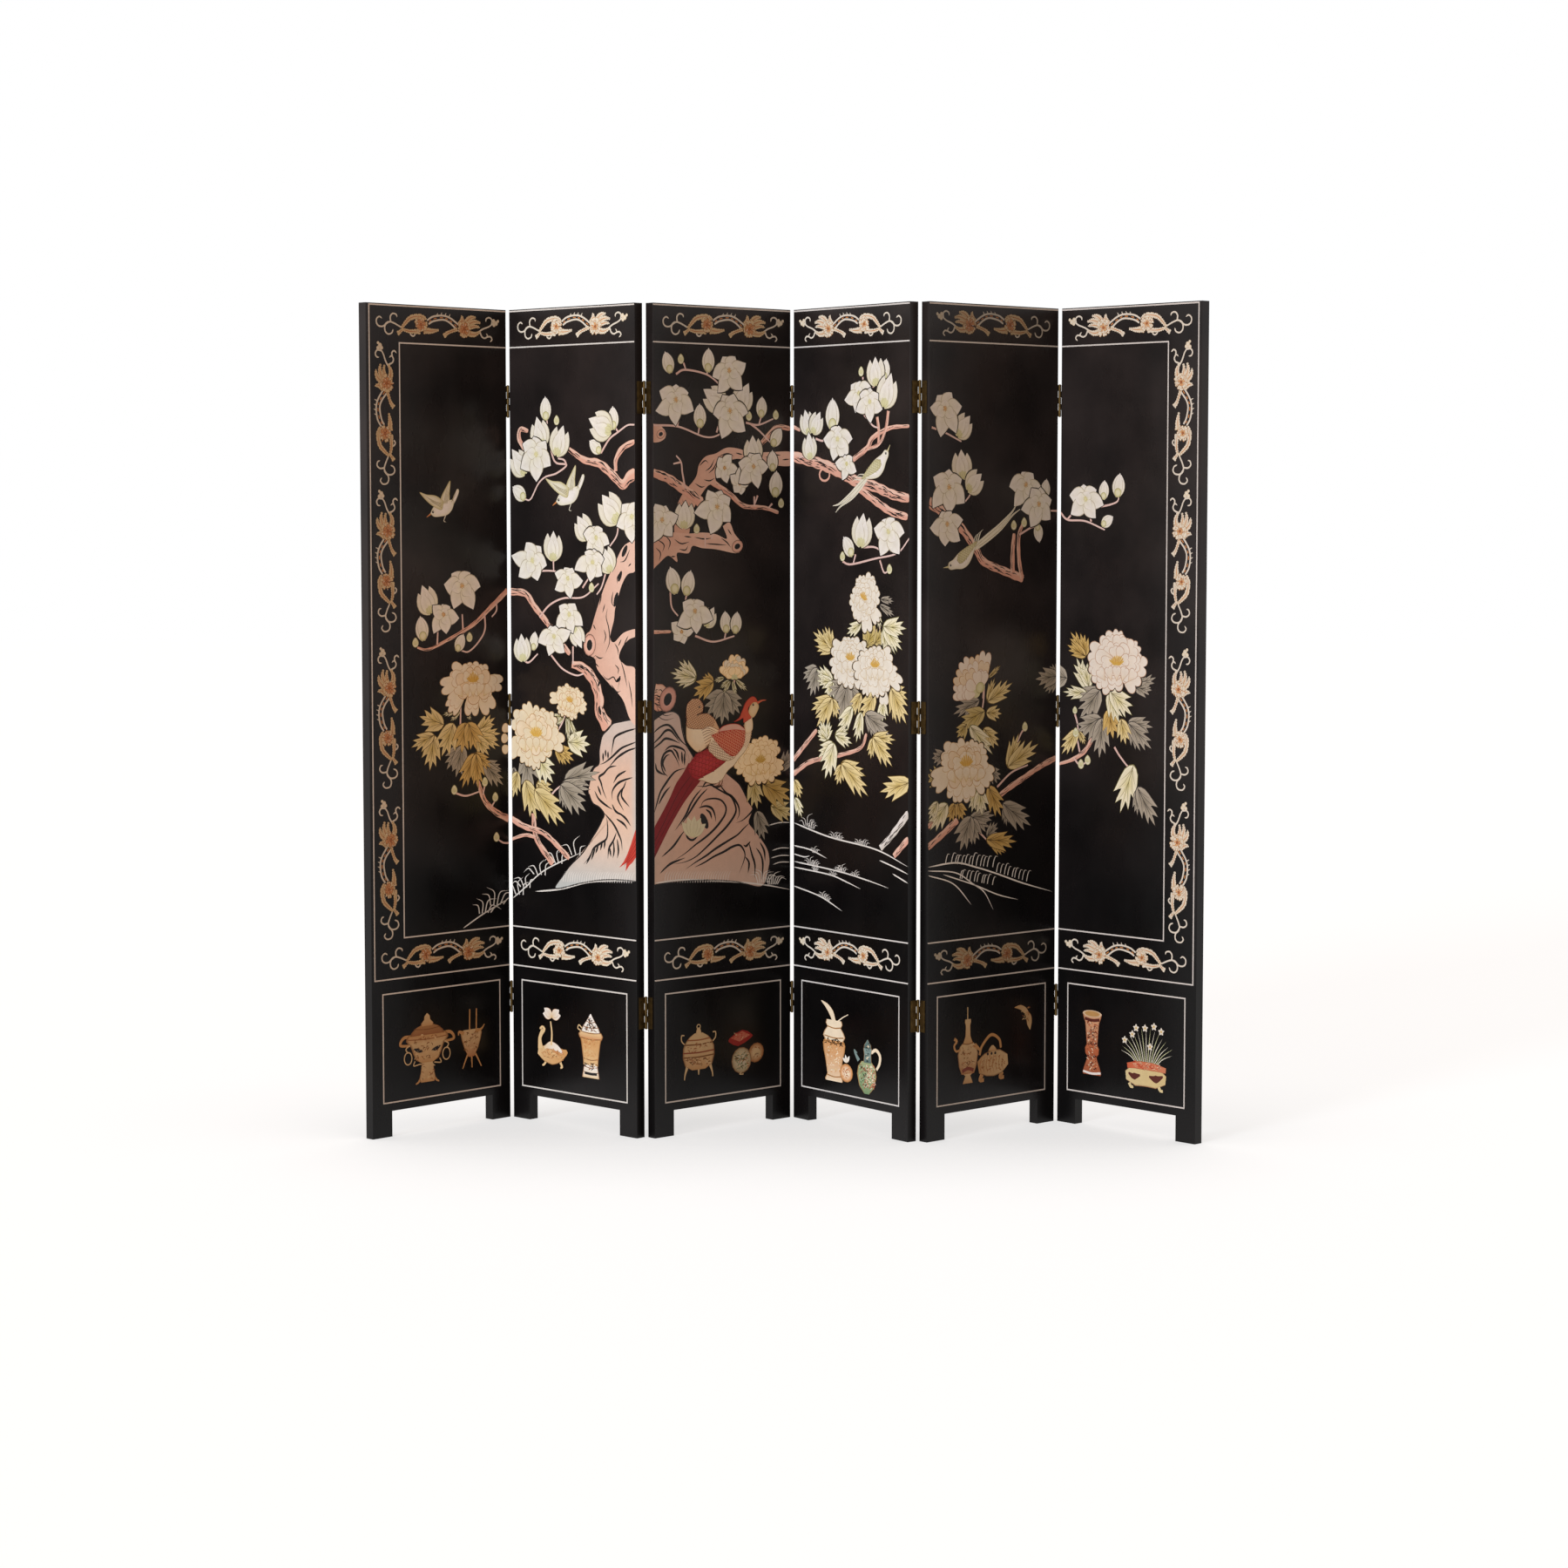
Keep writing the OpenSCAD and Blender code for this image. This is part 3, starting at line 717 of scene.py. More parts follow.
def leaf(art, kind, x0, z0, x1, z1, wide):
    """A blade of a peony leaf from its stalk to its tip, with forward teeth, dark veins and a light rim."""
    root, tip, edge = LEAF_KINDS[kind]
    length = math.hypot(x1 - x0, z1 - z0)
    turn = math.degrees(math.atan2(z1 - z0, x1 - x0))

    def at(points):
        return turned(np.array(points, float) * (length, wide), x0, z0, turn)

    sides = []
    for _ in range(2):
        grow = art.rng.uniform(0.9, 1.12)
        sides.append([(u, v * grow) for u, v in BLADE])
    outline = [(u, -v) for u, v in sides[0]] + sides[1][-2::-1]
    rim = 1 - min(1.0 / (0.4 * wide), 0.12)
    light = np.minimum(tip * 1.12, 1)
    art.disc(at(outline), at([(0.42, 0)])[0], [(1, edge), (rim, edge), (rim - 0.02, light),
                                               (rim - 0.14, tip), (0.4, (root + tip) / 2), (0.15, root)])
    art.line(at([(0.02, 0), (0.5, art.rng.uniform(-0.03, 0.03)), (0.94, 0)]), (1.8, 1.4, 1), edge,
             (0, 0.4), step=8)
    for side in (-1, 1):
        for start, end in (((0.1, 0), (0.68, 0.48)), ((0.36, 0), (0.86, 0.28)), ((0.05, 0), (0.42, 0.4))):
            middle = ((start[0] + end[0]) / 2, end[1] * 0.36)
            art.line(at([(u, v * side) for u, v in (start, middle, end)]), 1.0, edge, (0, 0.5), step=9)


# Strokes of bark for each square millimetre of a limb, the width of placed strokes, and a twig's width
BARK_MARKS = 0.012
BARK_STROKE = 3.2
TWIG_WIDTH = 5.0


def branch(art, points, width, paint=BARK):
    """A tapering limb with bark lines that show the black ground."""
    rng = art.rng
    path = curve(points, 5)
    count = len(path)
    half = spread(width, count) / 2
    half = half * (1 + 0.07 * np.sin(np.arange(count) * 0.9 + rng.uniform(0, 6)))
    half[-1] *= 0.7
    tints = shade(count, [paint[0], paint[0], paint[2]], 0)
    tints[:, 4] = tints[:, 5] = paint[1]
    art.strip(path, half, tints)
    length = np.linalg.norm(np.diff(path, axis=0), axis=1).sum()
    along = np.gradient(path, axis=0)
    along /= np.linalg.norm(along, axis=1)[:, None]
    side = np.stack([-along[:, 1], along[:, 0]], axis=1)
    for _ in range(int(length * half.mean() * BARK_MARKS)):
        run = rng.randint(3, 8)
        start = rng.randint(0, max(count - run - 1, 0))
        rows = np.arange(start, min(start + run, count))
        if len(rows) < 3:
            continue
        place = rng.uniform(-0.78, 0.78)
        sway = 0.12 * np.sin(np.arange(len(rows)) * rng.uniform(0.5, 1.1))
        stroke = path[rows] + side[rows] * (half[rows] * (place + sway))[:, None]
        art.line(stroke, min(2.2, half.mean() * 0.24), INK, (0.3, 0.5), step=8)


def timber(art, outline):
    """A thick part of the tree, drawn by its outline and lighter towards its right side."""
    edge = curve(list(outline) + [outline[0]], 6)[:-1]
    across = edge[:, 0] - edge[:, 0].min()
    share = (across / across.max())[:, None]
    art.patch(edge, BARK[2] + (BARK[1] - BARK[2]) * np.clip(0.35 + share, 0, 1))


def bark(art, strokes):
    """Strokes of bark on a limb, thin at both ends."""
    for points in strokes:
        art.line(points, (BARK_STROKE * 0.6, BARK_STROKE, BARK_STROKE * 0.6), INK, (0.25, 0.35))


def knot(art, x, z, radius, turn, paint=BARK):
    """A cut or hollow end of a limb: a ring, a dark hole and two arcs of bark."""
    spot(art, x, z, radius, [paint[0], paint[1], INK], 1.25, turn)
    hole(art, x, z, radius * 0.62, radius * 0.45, turn)
    for share in (1.5, 1.9):
        arc = [turned([(radius * share, 0)], x, z, turn + a)[0] for a in (130, 165, 200, 235)]
        art.line(arc, 1.8, INK, (0.4, 0.4))


def hole(art, x, z, long, wide, turn):
    """A dark slit or hollow in the bark."""
    art.disc(ball(x, z, wide, 12, long / wide, turn), (x, z), [(1, INK), (0.5, INK)], fine=True)


def twig(art, points):
    """A thin twig, a little lighter than the limbs."""
    path = curve(points, 4)
    half = spread((TWIG_WIDTH, TWIG_WIDTH * 0.7), len(path)) / 2
    art.strip(path, half, shade(len(path), TWIG, 0))


# Ground, grass and rocks


def ground(art, points, width):
    """A line of ground, thin at both ends."""
    art.line(points, width, WHITE_LINE, (0.08, 0.25), step=8)


def tuft(art, x, z, size, lean, blades, width=3.0):
    """Curved blades of grass that fan out from one place and hang over."""
    for k in range(blades):
        share = k / (blades - 1) - 0.5
        hand = 1 if share >= 0 else -1
        start = (x + share * size * 0.8, z)
        reach = size * (1.05 - 0.5 * abs(share)) * art.rng.uniform(0.8, 1.1)
        up = 90 + lean - share * 66
        middle = turned([(reach * 0.62, 0)], *start, up)[0]
        end = turned([(reach, 0)], *start, up - hand * 30)[0]
        art.line([start, middle, end], (width, width * 0.9, width * 0.5), WHITE_LINE, (0, 0.5))


def sprouts(art, x0, x1, z0, z1, count, size):
    """A row of leaning blades with hooked tops along a line of ground."""
    for k in range(count):
        t = (k + art.rng.uniform(0.2, 0.8)) / count
        x, z = x0 + (x1 - x0) * t, z0 + (z1 - z0) * t
        tall = size * art.rng.uniform(0.8, 1.15)
        bend = [(x, z), (x + tall * 0.12, z + tall * 0.5), (x + tall * 0.34, z + tall * 0.9),
                (x + tall * 0.62, z + tall * 0.84)]
        art.line(bend, 2.1, WHITE_LINE, (0, 0.4))


def hatching(art, x, z, count, apart, rise):
    """A row of hooked strokes at the foot of a rock, apart from each other and each higher by rise."""
    for k in range(count):
        u, v = x + k * apart, z + k * rise
        art.line([(u, v), (u + 3, v + 16), (u + 10, v + 25)], 1.8, WHITE_LINE, (0, 0.5))


def rock(art, outline, centre, contours, low, high, paint=ROCK):
    """A rock: a wash of stone colours from its foot to its head, with bold dark contours."""
    edge = curve(list(outline), 6)
    rings = []
    for share in (1, 0.8, 0.6, 0.4, 0.2):
        height = (np.array(centre) + (edge - centre) * share)[:, 1]
        t = np.clip((height - low) / (high - low), 0, 1)
        rings.append((share, np.stack([np.interp(t, np.linspace(0, 1, len(paint)), part)
                                       for part in np.array(paint).T], axis=1)))
    art.disc(edge, centre, rings)
    art.line(edge, 3, INK, (0.02, 0.02), step=50)
    for points in contours:
        art.line(points, (2.8, 5.8, 3.2), INK, (0.12, 0.3))


# Birds


def eye(art, x, z, size):
    """A dark eye with a point of light."""
    art.disc(ball(x, z, size, 10), (x, z), [(1, INK), (0.5, INK)], fine=True)
    art.disc(ball(x + size * 0.25, z + size * 0.25, size * 0.3, 6), (x, z),
             [(1, WHITE_LINE), (0.5, WHITE_LINE)])


def shape(art, points, paint):
    """A closed shape with a smooth outline, its rim a little darker."""
    outline = curve(list(points) + [points[0]], 5)[:-1]
    centre = outline.mean(axis=0)
    art.disc(outline, centre, [(1, paint[2]), (0.95, paint[0]), (0.5, paint[1])])
    return outline


def flat(art, points, paint):
    """A closed shape of any smooth outline in one colour, with a thin darker rim."""
    outline = curve(list(points) + [points[0]], 5)[:-1]
    art.patch(outline, paint[1])
    art.line(outline, 1.2, paint[2], step=50)
    return outline


def scales(art, outline, angle, size, tint, width=0.9):
    """Rows of small arcs inside an outline, for a scaled wing or breast."""
    ends = np.roll(outline, -1, axis=0)
    middle = outline.mean(axis=0)
    span = int(np.linalg.norm(outline - middle, axis=1).max() / size) + 1
    for row in range(-span, span + 1):
        for place in range(-span, span + 1):
            x, z = turned([((place + 0.5 * (row % 2)) * size, row * size * 0.62)], *middle, angle)[0]
            crosses = (outline[:, 1] > z) != (ends[:, 1] > z)
            step = np.where(crosses, ends[:, 1] - outline[:, 1], 1)
            left = x < outline[:, 0] + (z - outline[:, 1]) * (ends[:, 0] - outline[:, 0]) / step
            if np.count_nonzero(crosses & left) % 2:
                arc = [(-size * 0.3, -size * 0.34), (size * 0.22, 0), (-size * 0.3, size * 0.34)]
                art.line(turned(arc, x, z, angle), width, tint, step=4)


def swallow(art, x, z, size):
    """A small bird in flight, its head down to the left, its wings spread and its tail up to the right."""
    def at(points):
        return [(x + u * size, z + v * size) for u, v in points]

    shape(art, at([(0.28, 0.1), (0.5, 0.36), (0.68, 0.66), (0.78, 0.6), (0.68, 0.34), (0.46, 0.04)]), DOWN)
    shape(art, at([(-0.2, 0.02), (-0.12, 0.36), (0.08, 0.66), (0.34, 0.98), (0.3, 0.5), (0.26, 0.08)]),
          FEATHER)
    shape(art, at([(-0.68, -0.28), (-0.5, -0.02), (-0.1, 0.08), (0.3, 0.24), (0.52, 0.2), (0.44, -0.1),
                   (0.2, -0.32), (-0.2, -0.4), (-0.5, -0.4)]), DOWN)
    shape(art, at([(0.0, 0.2), (-0.4, 0.4), (-0.85, 0.44), (-1.2, 0.52), (-0.86, 0.2), (-0.5, -0.02),
                   (-0.1, -0.14)]), FEATHER)
    for k in range(4):
        art.line(at([(-0.1, 0.1 - 0.05 * k), (-0.5, 0.2 - 0.03 * k), (-0.98 + 0.1 * k, 0.42 - 0.07 * k)]),
                 1.0, FEATHER[2], (0, 0.4))
        art.line(at([(0.02 + 0.05 * k, 0.1), (0.08 + 0.05 * k, 0.4), (0.22 + 0.03 * k, 0.82 - 0.09 * k)]),
                 1.0, FEATHER[2], (0, 0.4))
    for u in (0.58, 0.66):
        art.line(at([(0.4, 0.16), (u, 0.54)]), 1.0, FEATHER[2], (0, 0.4))
    art.line(at([(-0.66, -0.3), (-0.86, -0.42)]), (size * 0.07, 0.8), ORANGE)
    art.line(at([(0.1, -0.34), (0.0, -0.56), (0.12, -0.6)]), 1.8, FEATHER[1], (0, 0.3))
    eye(art, *at([(-0.54, -0.22)])[0], size * 0.05)


def long_tail(art, head, body, tail, size, up):
    """A slender bird with two long streaming tail feathers; up is the side that its back is on."""
    head, body, tail = (np.array(p, float) for p in (head, body, tail))
    axis = (tail - head) / np.linalg.norm(tail - head)
    side = np.array([-axis[1], axis[0]]) * up
    heading = math.degrees(math.atan2(axis[1], axis[0]))

    def at(points):
        return [tuple(body + axis * u * size + side * v * size) for u, v in points]

    reach = np.linalg.norm(tail - body) / size
    for end, bend, width in ((-0.02, -0.12, 0.1), (0.26, 0.02, 0.12)):
        line = at([(0.5, 0.0), (0.9, bend * 0.7), (reach * 0.6, bend), (reach * 0.86, end * 0.4),
                   (reach, end)])
        art.stroke(line, (size * 0.16, size * width * 1.5, size * width, 1.4), FEATHER[1])
        art.line(line, 0.9, FEATHER[2], (0, 0.3))
    for k in range(3):
        art.line(at([(0.5 + 0.16 * k, 0.1), (0.8 + 0.16 * k, 0.32), (0.98 + 0.16 * k, 0.34)]), (3, 1.2),
                 FEATHER[1], (0, 0.5))
    shape(art, at([(-0.98, 0.06), (-0.86, 0.22), (-0.62, 0.2), (-0.2, 0.26), (0.3, 0.22), (0.66, 0.08),
                   (0.4, -0.16), (0.0, -0.36), (-0.36, -0.34), (-0.64, -0.18), (-0.9, -0.06)]), DOWN)
    wing = shape(art, at([(-0.46, 0.08), (-0.2, 0.24), (0.3, 0.22), (0.8, 0.12), (0.4, -0.02),
                          (-0.06, -0.14), (-0.36, -0.12)]),
                 [colour("d6cf98"), colour("e6dfb0"), FEATHER[2]])
    scales(art, wing, heading, size * 0.11, FEATHER[2])
    art.line(at([(-0.94, 0.1), (-1.18, 0.2)]), (size * 0.08, 0.8), FEATHER[0])
    eye(art, *at([(-0.82, 0.09)])[0], size * 0.045)


def body_strip(art, points, half, paint):
    """A smooth band of one paint along points, half as wide to each side as half says."""
    path = curve(points, 4)
    art.strip(path, spread(half, len(path)), shade(len(path), paint, 0))


def pheasants(art):
    """A hen and a cock on the rock, the cock in front with his tail down to the left."""
    pale = [colour("f2d3a8") * 1.15, colour("f8e2be") * 1.15, colour("b08458")]
    buff = [colour("e0ab7c"), colour("ecc092"), colour("8a5238")]
    brown = colour("8a4e2c")
    rust = [colour("c0352a"), colour("d0452e"), colour("93281f")]
    art.use("birds")
    shape(art, [(94, 912), (140, 926), (170, 922), (186, 906), (191, 892), (176, 880), (158, 862),
                (142, 852), (126, 848), (108, 860), (95, 876), (93, 896)], pale)
    hen = flat(art, [(112, 966), (130, 965), (142, 953), (141, 938), (134, 932), (156, 932), (174, 921),
                     (184, 908), (189, 895), (162, 904), (136, 899), (98, 904), (95, 922), (94, 940),
                     (98, 956)], buff)
    scales(art, hen, 75, 6, brown, 1.3)
    for k in range(7):
        art.line([(138 + 2 * k, 896 - 6 * k), (156 + 3 * k, 900 - 5 * k), (184 - 2 * k, 890 - 4 * k)],
                 1.2, brown, (0, 0.3))
    art.line([(125, 930), (136, 934)], (4, 1.4), INK)
    eye(art, 132, 948, 2.6)
    tail = curve([(100, 826), (84, 804), (63, 781), (45, 751), (24, 721), (-4, 684)], 5)
    low = curve([(-4, 622), (16, 646), (37, 676), (60, 706), (90, 742), (135, 784)], 5)
    art.patch(np.vstack([tail, low]), MAROON[1])
    art.line([(110, 800), (70, 760), (30, 700), (-4, 650)], 1.6, MAROON[2], (0.1, 0))
    art.line([(118, 792), (76, 742), (36, 690), (-4, 636)], 1.2, MAROON[2], (0.1, 0))
    body = flat(art, [(290, 930), (288, 906), (286, 884), (279, 860), (265, 842), (248, 828), (234, 814),
                      (215, 802), (194, 780), (170, 776), (142, 784), (128, 788), (146, 798), (176, 808),
                      (206, 826), (240, 846), (258, 866), (266, 888), (266, 905), (276, 916)], pale)
    scales(art, body[body[:, 1] > 850], 260, 6, buff[0], 1.0)
    coverts = shape(art, [(155, 854), (142, 850), (125, 845), (110, 832), (97, 817), (102, 802),
                          (112, 792), (126, 787), (144, 793), (172, 803), (196, 815), (211, 826),
                          (192, 832), (176, 840), (166, 850)], CRIMSON)
    scales(art, coverts, 215, 13, RED[2], 1.4)
    for start, bend, end in (((196, 828), (160, 820), (124, 800)), ((176, 838), (150, 834), (116, 824)),
                             ((186, 818), (156, 806), (130, 794))):
        art.line([start, bend, end], 1.6, RED[1], (0.2, 0.4))
    lower = flat(art, [(168, 880), (182, 872), (198, 858), (218, 846), (238, 840), (236, 831), (216, 825),
                       (200, 827), (184, 832), (171, 841), (158, 854)], pale)
    scales(art, lower, 215, 6.5, brown, 1.2)
    wing = shape(art, [(166, 884), (190, 889), (225, 893), (264, 893), (268, 880), (265, 862), (255, 848),
                       (241, 836), (228, 834), (212, 842), (196, 854), (181, 868)], rust)
    scales(art, wing, 205, 7.5, colour("f0a880"), 1.6)
    flat(art,
         [(186, 890), (200, 901), (222, 906), (244, 905), (258, 899), (268, 890), (240, 893), (212, 892)],
         [colour("e29a84"), colour("ecb8a2"), rust[1]])
    shape(art, [(266, 912), (277, 916), (289, 914), (289, 890), (270, 884)], pale)
    flat(art, [(306, 952), (299, 962), (290, 965), (278, 960), (268, 950), (258, 932), (250, 919),
               (235, 911), (250, 914), (262, 918), (264, 908), (278, 914), (286, 920), (276, 936),
               (283, 946), (296, 950)], [RED[1], colour("da5a40"), RED[0]])
    shape(art, [(282, 944), (292, 952), (304, 951), (309, 941), (300, 925), (290, 918), (278, 930)],
          [colour("f0ca92"), colour("f6d8a8"), pale[2]])
    art.line([(304, 950), (317, 955), (331, 956)], (6, 4, 1.4), colour("d96a4c"))
    eye(art, 292, 947, 3.0)
    for x in (192, 200):
        art.line([(x, 782), (x - 4, 772), (x - 16, 770)], 2.4, colour("7a4a30"), (0, 0.3))


def tail_tip(art):
    """The tip of the cock's tail, which reaches over to the next leaf."""
    art.use("birds")
    tip = [(410, 684), (391, 653), (379, 629), (367, 611), (352, 596), (376, 609), (372, 589), (385, 604),
           (394, 610), (410, 622)]
    art.patch(tip, RED[1])
    for k in range(4):
        art.line([(408, 668 - 12 * k), (388, 634 - 6 * k), (372 - 2 * k, 608 - 3 * k)], 1.1, RED[2],
                 (0, 0.4))


# Borders


def rosette(art, x, z, radius):
    """A border flower: scalloped petals about a darker heart, under short strokes of three tints."""
    # on the odd leaves the flower takes darker rust paints, as painted shade
    outer, middle, inner = (SCROLL_SHADED, RUST, RUST) if art.number % 2 else (SCROLL, SCROLL, SCROLL_HEART)
    for share, count, breadth, paint in ((1.0, 8, 0.72, outer), (0.72, 6, 0.6, middle),
                                         (0.46, 5, 0.4, inner)):
        for k in range(count):
            angle = 360 * (k + 0.3) / count + art.rng.uniform(-10, 10)
            frill(art, x, z, angle, radius * share * art.rng.uniform(0.86, 1.1), radius * breadth, paint, 2)
    for k in range(22):
        angle, reach = 137.5 * k + art.rng.uniform(-20, 20), radius * art.rng.uniform(0.25, 0.85)
        start, end = turned([(reach, 0), (reach + 4, art.rng.uniform(-2, 2))], x, z, angle)
        tint = (SCROLL_HEART[0], SCROLL_HEART[2], SCROLL[1])[k % 3]
        art.line([start, end], art.rng.uniform(1.6, 2.4), tint, (0.3, 0.3))
    spot(art, x, z, radius * 0.16, [RUST[2], RUST[0], RUST[2]])


def prong(art, place, points, width):
    """A pointed leaf of a border with a wavy rim, along points of the motif."""
    path = curve(place(points), 3)
    wave = 1 + 0.16 * np.sin(np.arange(len(path)) * 1.5)
    half = spread(width, len(path)) / 2
    # on the odd leaves the border leaf and its vein take darker rust paints, as painted shade
    paint = SCROLL_SHADED if art.number % 2 else SCROLL
    art.strip(path, half * wave, shade(len(path), paint, 0.3))
    if len(path) > 8:
        art.line(path[2:-2], 1.6, RUST[0] if art.number % 2 else SCROLL_HEART[0], (0.2, 0.5), step=6)
    along = np.gradient(path, axis=0)
    side = np.stack([-along[:, 1], along[:, 0]], axis=1) / np.linalg.norm(along, axis=1)[:, None]
    for row in range(1, len(path) - 1, 2):
        for hand in (-1, 1):
            bead = path[row] + side[row] * hand * half[row] * 0.75
            art.disc(ball(*bead, 2.1, 7), bead, [(1, paint[2]), (0.72, paint[1])], fine=True)


# The length and width that the border motif is drawn on, and those of the motifs that stand at the ends
SCROLL_SIZE = np.array((346, 56))
UPRIGHT_SIZE = np.array((300, 62))

# Where the border motifs start: their heights, the heights of the upright ones, and how far in from an edge
SCROLL_HEIGHTS = (1783, 392)
UPRIGHT_HEIGHTS = (1438, 1117, 774, 440)
SCROLL_INSET = 30
UPRIGHT_INSET = 56


def scroll(art, x, z, angle, size, flip):
    """One border motif: two flowers joined by an arched stalk, with tendrils and a bud at its ends."""
    def place(points):
        return turned(np.array(points, float) * (size / SCROLL_SIZE), x, z, angle, flip)

    for points in (
        [(40, 7), (30, 5), (20, -3), (9, -4), (1, 1), (0, 11), (8, 17), (16, 13)],
        [(34, 6), (26, 1), (23, -6), (25, -15), (33, -20), (43, -17), (47, -9)],
        [(40, 7), (39, 18), (46, 25), (56, 23), (58, 17)],
        [(40, 7), (53, 3), (74, -6)],
        [(94, -12), (97, -19), (104, -22), (111, -17)],
        [(296, -5), (307, 1), (325, 7), (335, 13), (342, 16)],
        [(333, 12), (334, 22), (326, 27), (317, 24), (316, 17)],
        [(298, -5), (304, -16), (313, -19), (321, -14), (316, -8)],
        [(319, -16), (329, -15), (334, -21), (328, -27)],
    ):
        art.stroke(place(points), (3.8, 3.5, 3.2), SCROLL_LINE, (0, 0.06))
    for points in ([(144, 14), (162, 23), (190, 26), (212, 21), (238, 6)],
                   [(148, 6), (163, 13), (190, 17), (208, 12), (226, 0)]):
        art.stroke(place(points), 4.0, SCROLL_LINE)
    middle = curve([(150, 11), (163, 18), (190, 21.5), (210, 16), (230, 4)], 10)
    for a, b in zip(middle[:-1:2], middle[1::2]):
        art.stroke(place([a, b]), 2.2, SCROLL_HEART[0])
    for u in (172, 184, 196, 208):
        art.line(place([(u, 27 - abs(u - 188) * 0.12), (u + 3, 33 - abs(u - 188) * 0.14)]), (3, 1),
                 SCROLL_LINE)
    for points, width in (
        ([(70, -6), (84, 8), (98, 18), (126, 22), (142, 16)], (5, 9, 11, 10, 5)),
        ([(72, -8), (94, -12), (124, -11)], (5, 8, 12)),
        ([(76, -6), (66, -14), (59, -18)], (4, 6, 11)),
        ([(134, -8), (156, -9), (178, -6)], (16, 11, 2)),
        ([(232, -2), (204, -11), (192, -19)], (8, 6, 11)),
        ([(238, 8), (246, 20), (244, 29)], (12, 10, 2)),
        ([(252, 10), (270, 24), (286, 26)], (14, 12, 2)),
        ([(258, 8), (282, 16), (300, 14)], (14, 11, 2)),
        ([(262, 2), (284, 6), (298, 4)], (12, 8, 2)),
        ([(256, -8), (280, -12), (300, -5)], (14, 12, 3)),
    ):
        prong(art, place, points, width)
    scale = (size / SCROLL_SIZE).sum() / 2
    rosette(art, *place([(126, 4)])[0], 19 * scale)
    rosette(art, *place([(252, -1)])[0], 21 * scale)
    for u, v, radius in ((339, 20, 4.6), (340, 11, 4.2), (346, 15, 5.4), (352, 20, 3.4)):
        spot(art, *place([(u, v)])[0], radius * scale, [SCROLL[0], SCROLL[1], SCROLL[1]])


# How straight forwards a groove's floor looks at the least, and how far behind the front it lies
FACING = 0.99
GROOVE_DEPTH = 0.1


def groove_lines(art):
    """Paint in the grooves of the front board, which are its front faces that lie deeper than the rest."""
    art.use("lines")
    front = -art.back
    deep = [p for p in art.mesh.polygons
            if p.normal.dot(front) > FACING and min(art.depth[i] for i in p.vertices) > GROOVE_DEPTH]
    keys = {i: k for k, i in enumerate(sorted({i for p in deep for i in p.vertices}))}
    places = [art.mesh.vertices[i].co - art.origin for i in keys]
    flat = np.array([(p.dot(art.right) / MM, p.z / MM) for p in places])
    count = len(flat)
    edges, faces = {}, []
    for p in deep:
        ring = [keys[i] for i in p.vertices]
        faces += [tuple(ring), tuple(count + i for i in reversed(ring))]
        for a, b in zip(ring, ring[1:] + ring[:1]):
            edges[a, b] = edges.get((a, b), 0) + 1
    faces += [(a, count + a, count + b, b) for a, b in edges if (b, a) not in edges]
    upper = np.hstack([flat, np.full((count, 1), BASE)])
    lower = np.hstack([flat, np.full((count, 1), -max(art.depth[i] for i in keys))])
    art.add(np.vstack([upper, lower]), np.broadcast_to(WHITE_LINE * 0.92, (2 * count, 3)), faces)


def borders(art):
    """The scrolls between the two border lines, above, below and at the screen's two ends."""
    art.use("scrolls")
    mirrored = art.number > 3
    x = art.width - SCROLL_INSET if mirrored else SCROLL_INSET
    for z in SCROLL_HEIGHTS:
        scroll(art, x, z, 180 if mirrored else 0, SCROLL_SIZE, mirrored)
    if art.number in (1, 6):
        x = art.width - UPRIGHT_INSET if mirrored else UPRIGHT_INSET
        for z in UPRIGHT_HEIGHTS:
            scroll(art, x, z, 90, UPRIGHT_SIZE, mirrored)


# Antiques in the lower rectangles


def vessel(art, x, profile, paint=POTTERY):
    """A round vessel from (z, half width) pairs, from its foot to its rim."""
    z, half = np.array(profile, float).T
    path = np.stack([np.full(40, float(x)), np.linspace(z[0], z[-1], 40)], axis=1)
    art.strip(path, np.interp(path[:, 1], z, half), shade(len(path), paint, 0))


def band(art, x, z, half, height, tint, sag=3.0):
    """A band across a vessel, sagging a little as on a round body."""
    art.stroke([(x - half, z + sag), (x, z), (x + half, z + sag)], height, tint)


def beside(x, hand, points):
    """Points given as (distance from x, z), to the right for a hand of 1 and to the left for -1."""
    return [(x + hand * u, z) for u, z in points]


def glaze(art, x0, x1, z0, z1, count, tints):
    """Short strokes of glaze scattered over a vessel."""
    for _ in range(int(count * 1.4)):
        x, z = art.rng.uniform(x0, x1), art.rng.uniform(z0, z1)
        angle, length = art.rng.uniform(-60, 60), art.rng.uniform(4, 11)
        points = turned([(-length / 2, 0), (0, length * 0.2), (length / 2, 0)], x, z, angle)
        art.line(points, art.rng.uniform(1.4, 2.8), art.rng.choice(tints), (0.3, 0.3))


def ring(art, x, z, radius, tint, width=2.6, tall=1.0):
    """A ring, tall times as high as it is wide."""
    around = [math.radians(360 * k / 12) for k in range(13)]
    points = [(x + radius * math.cos(angle), z + radius * tall * math.sin(angle)) for angle in around]
    art.stroke(points, width, tint)


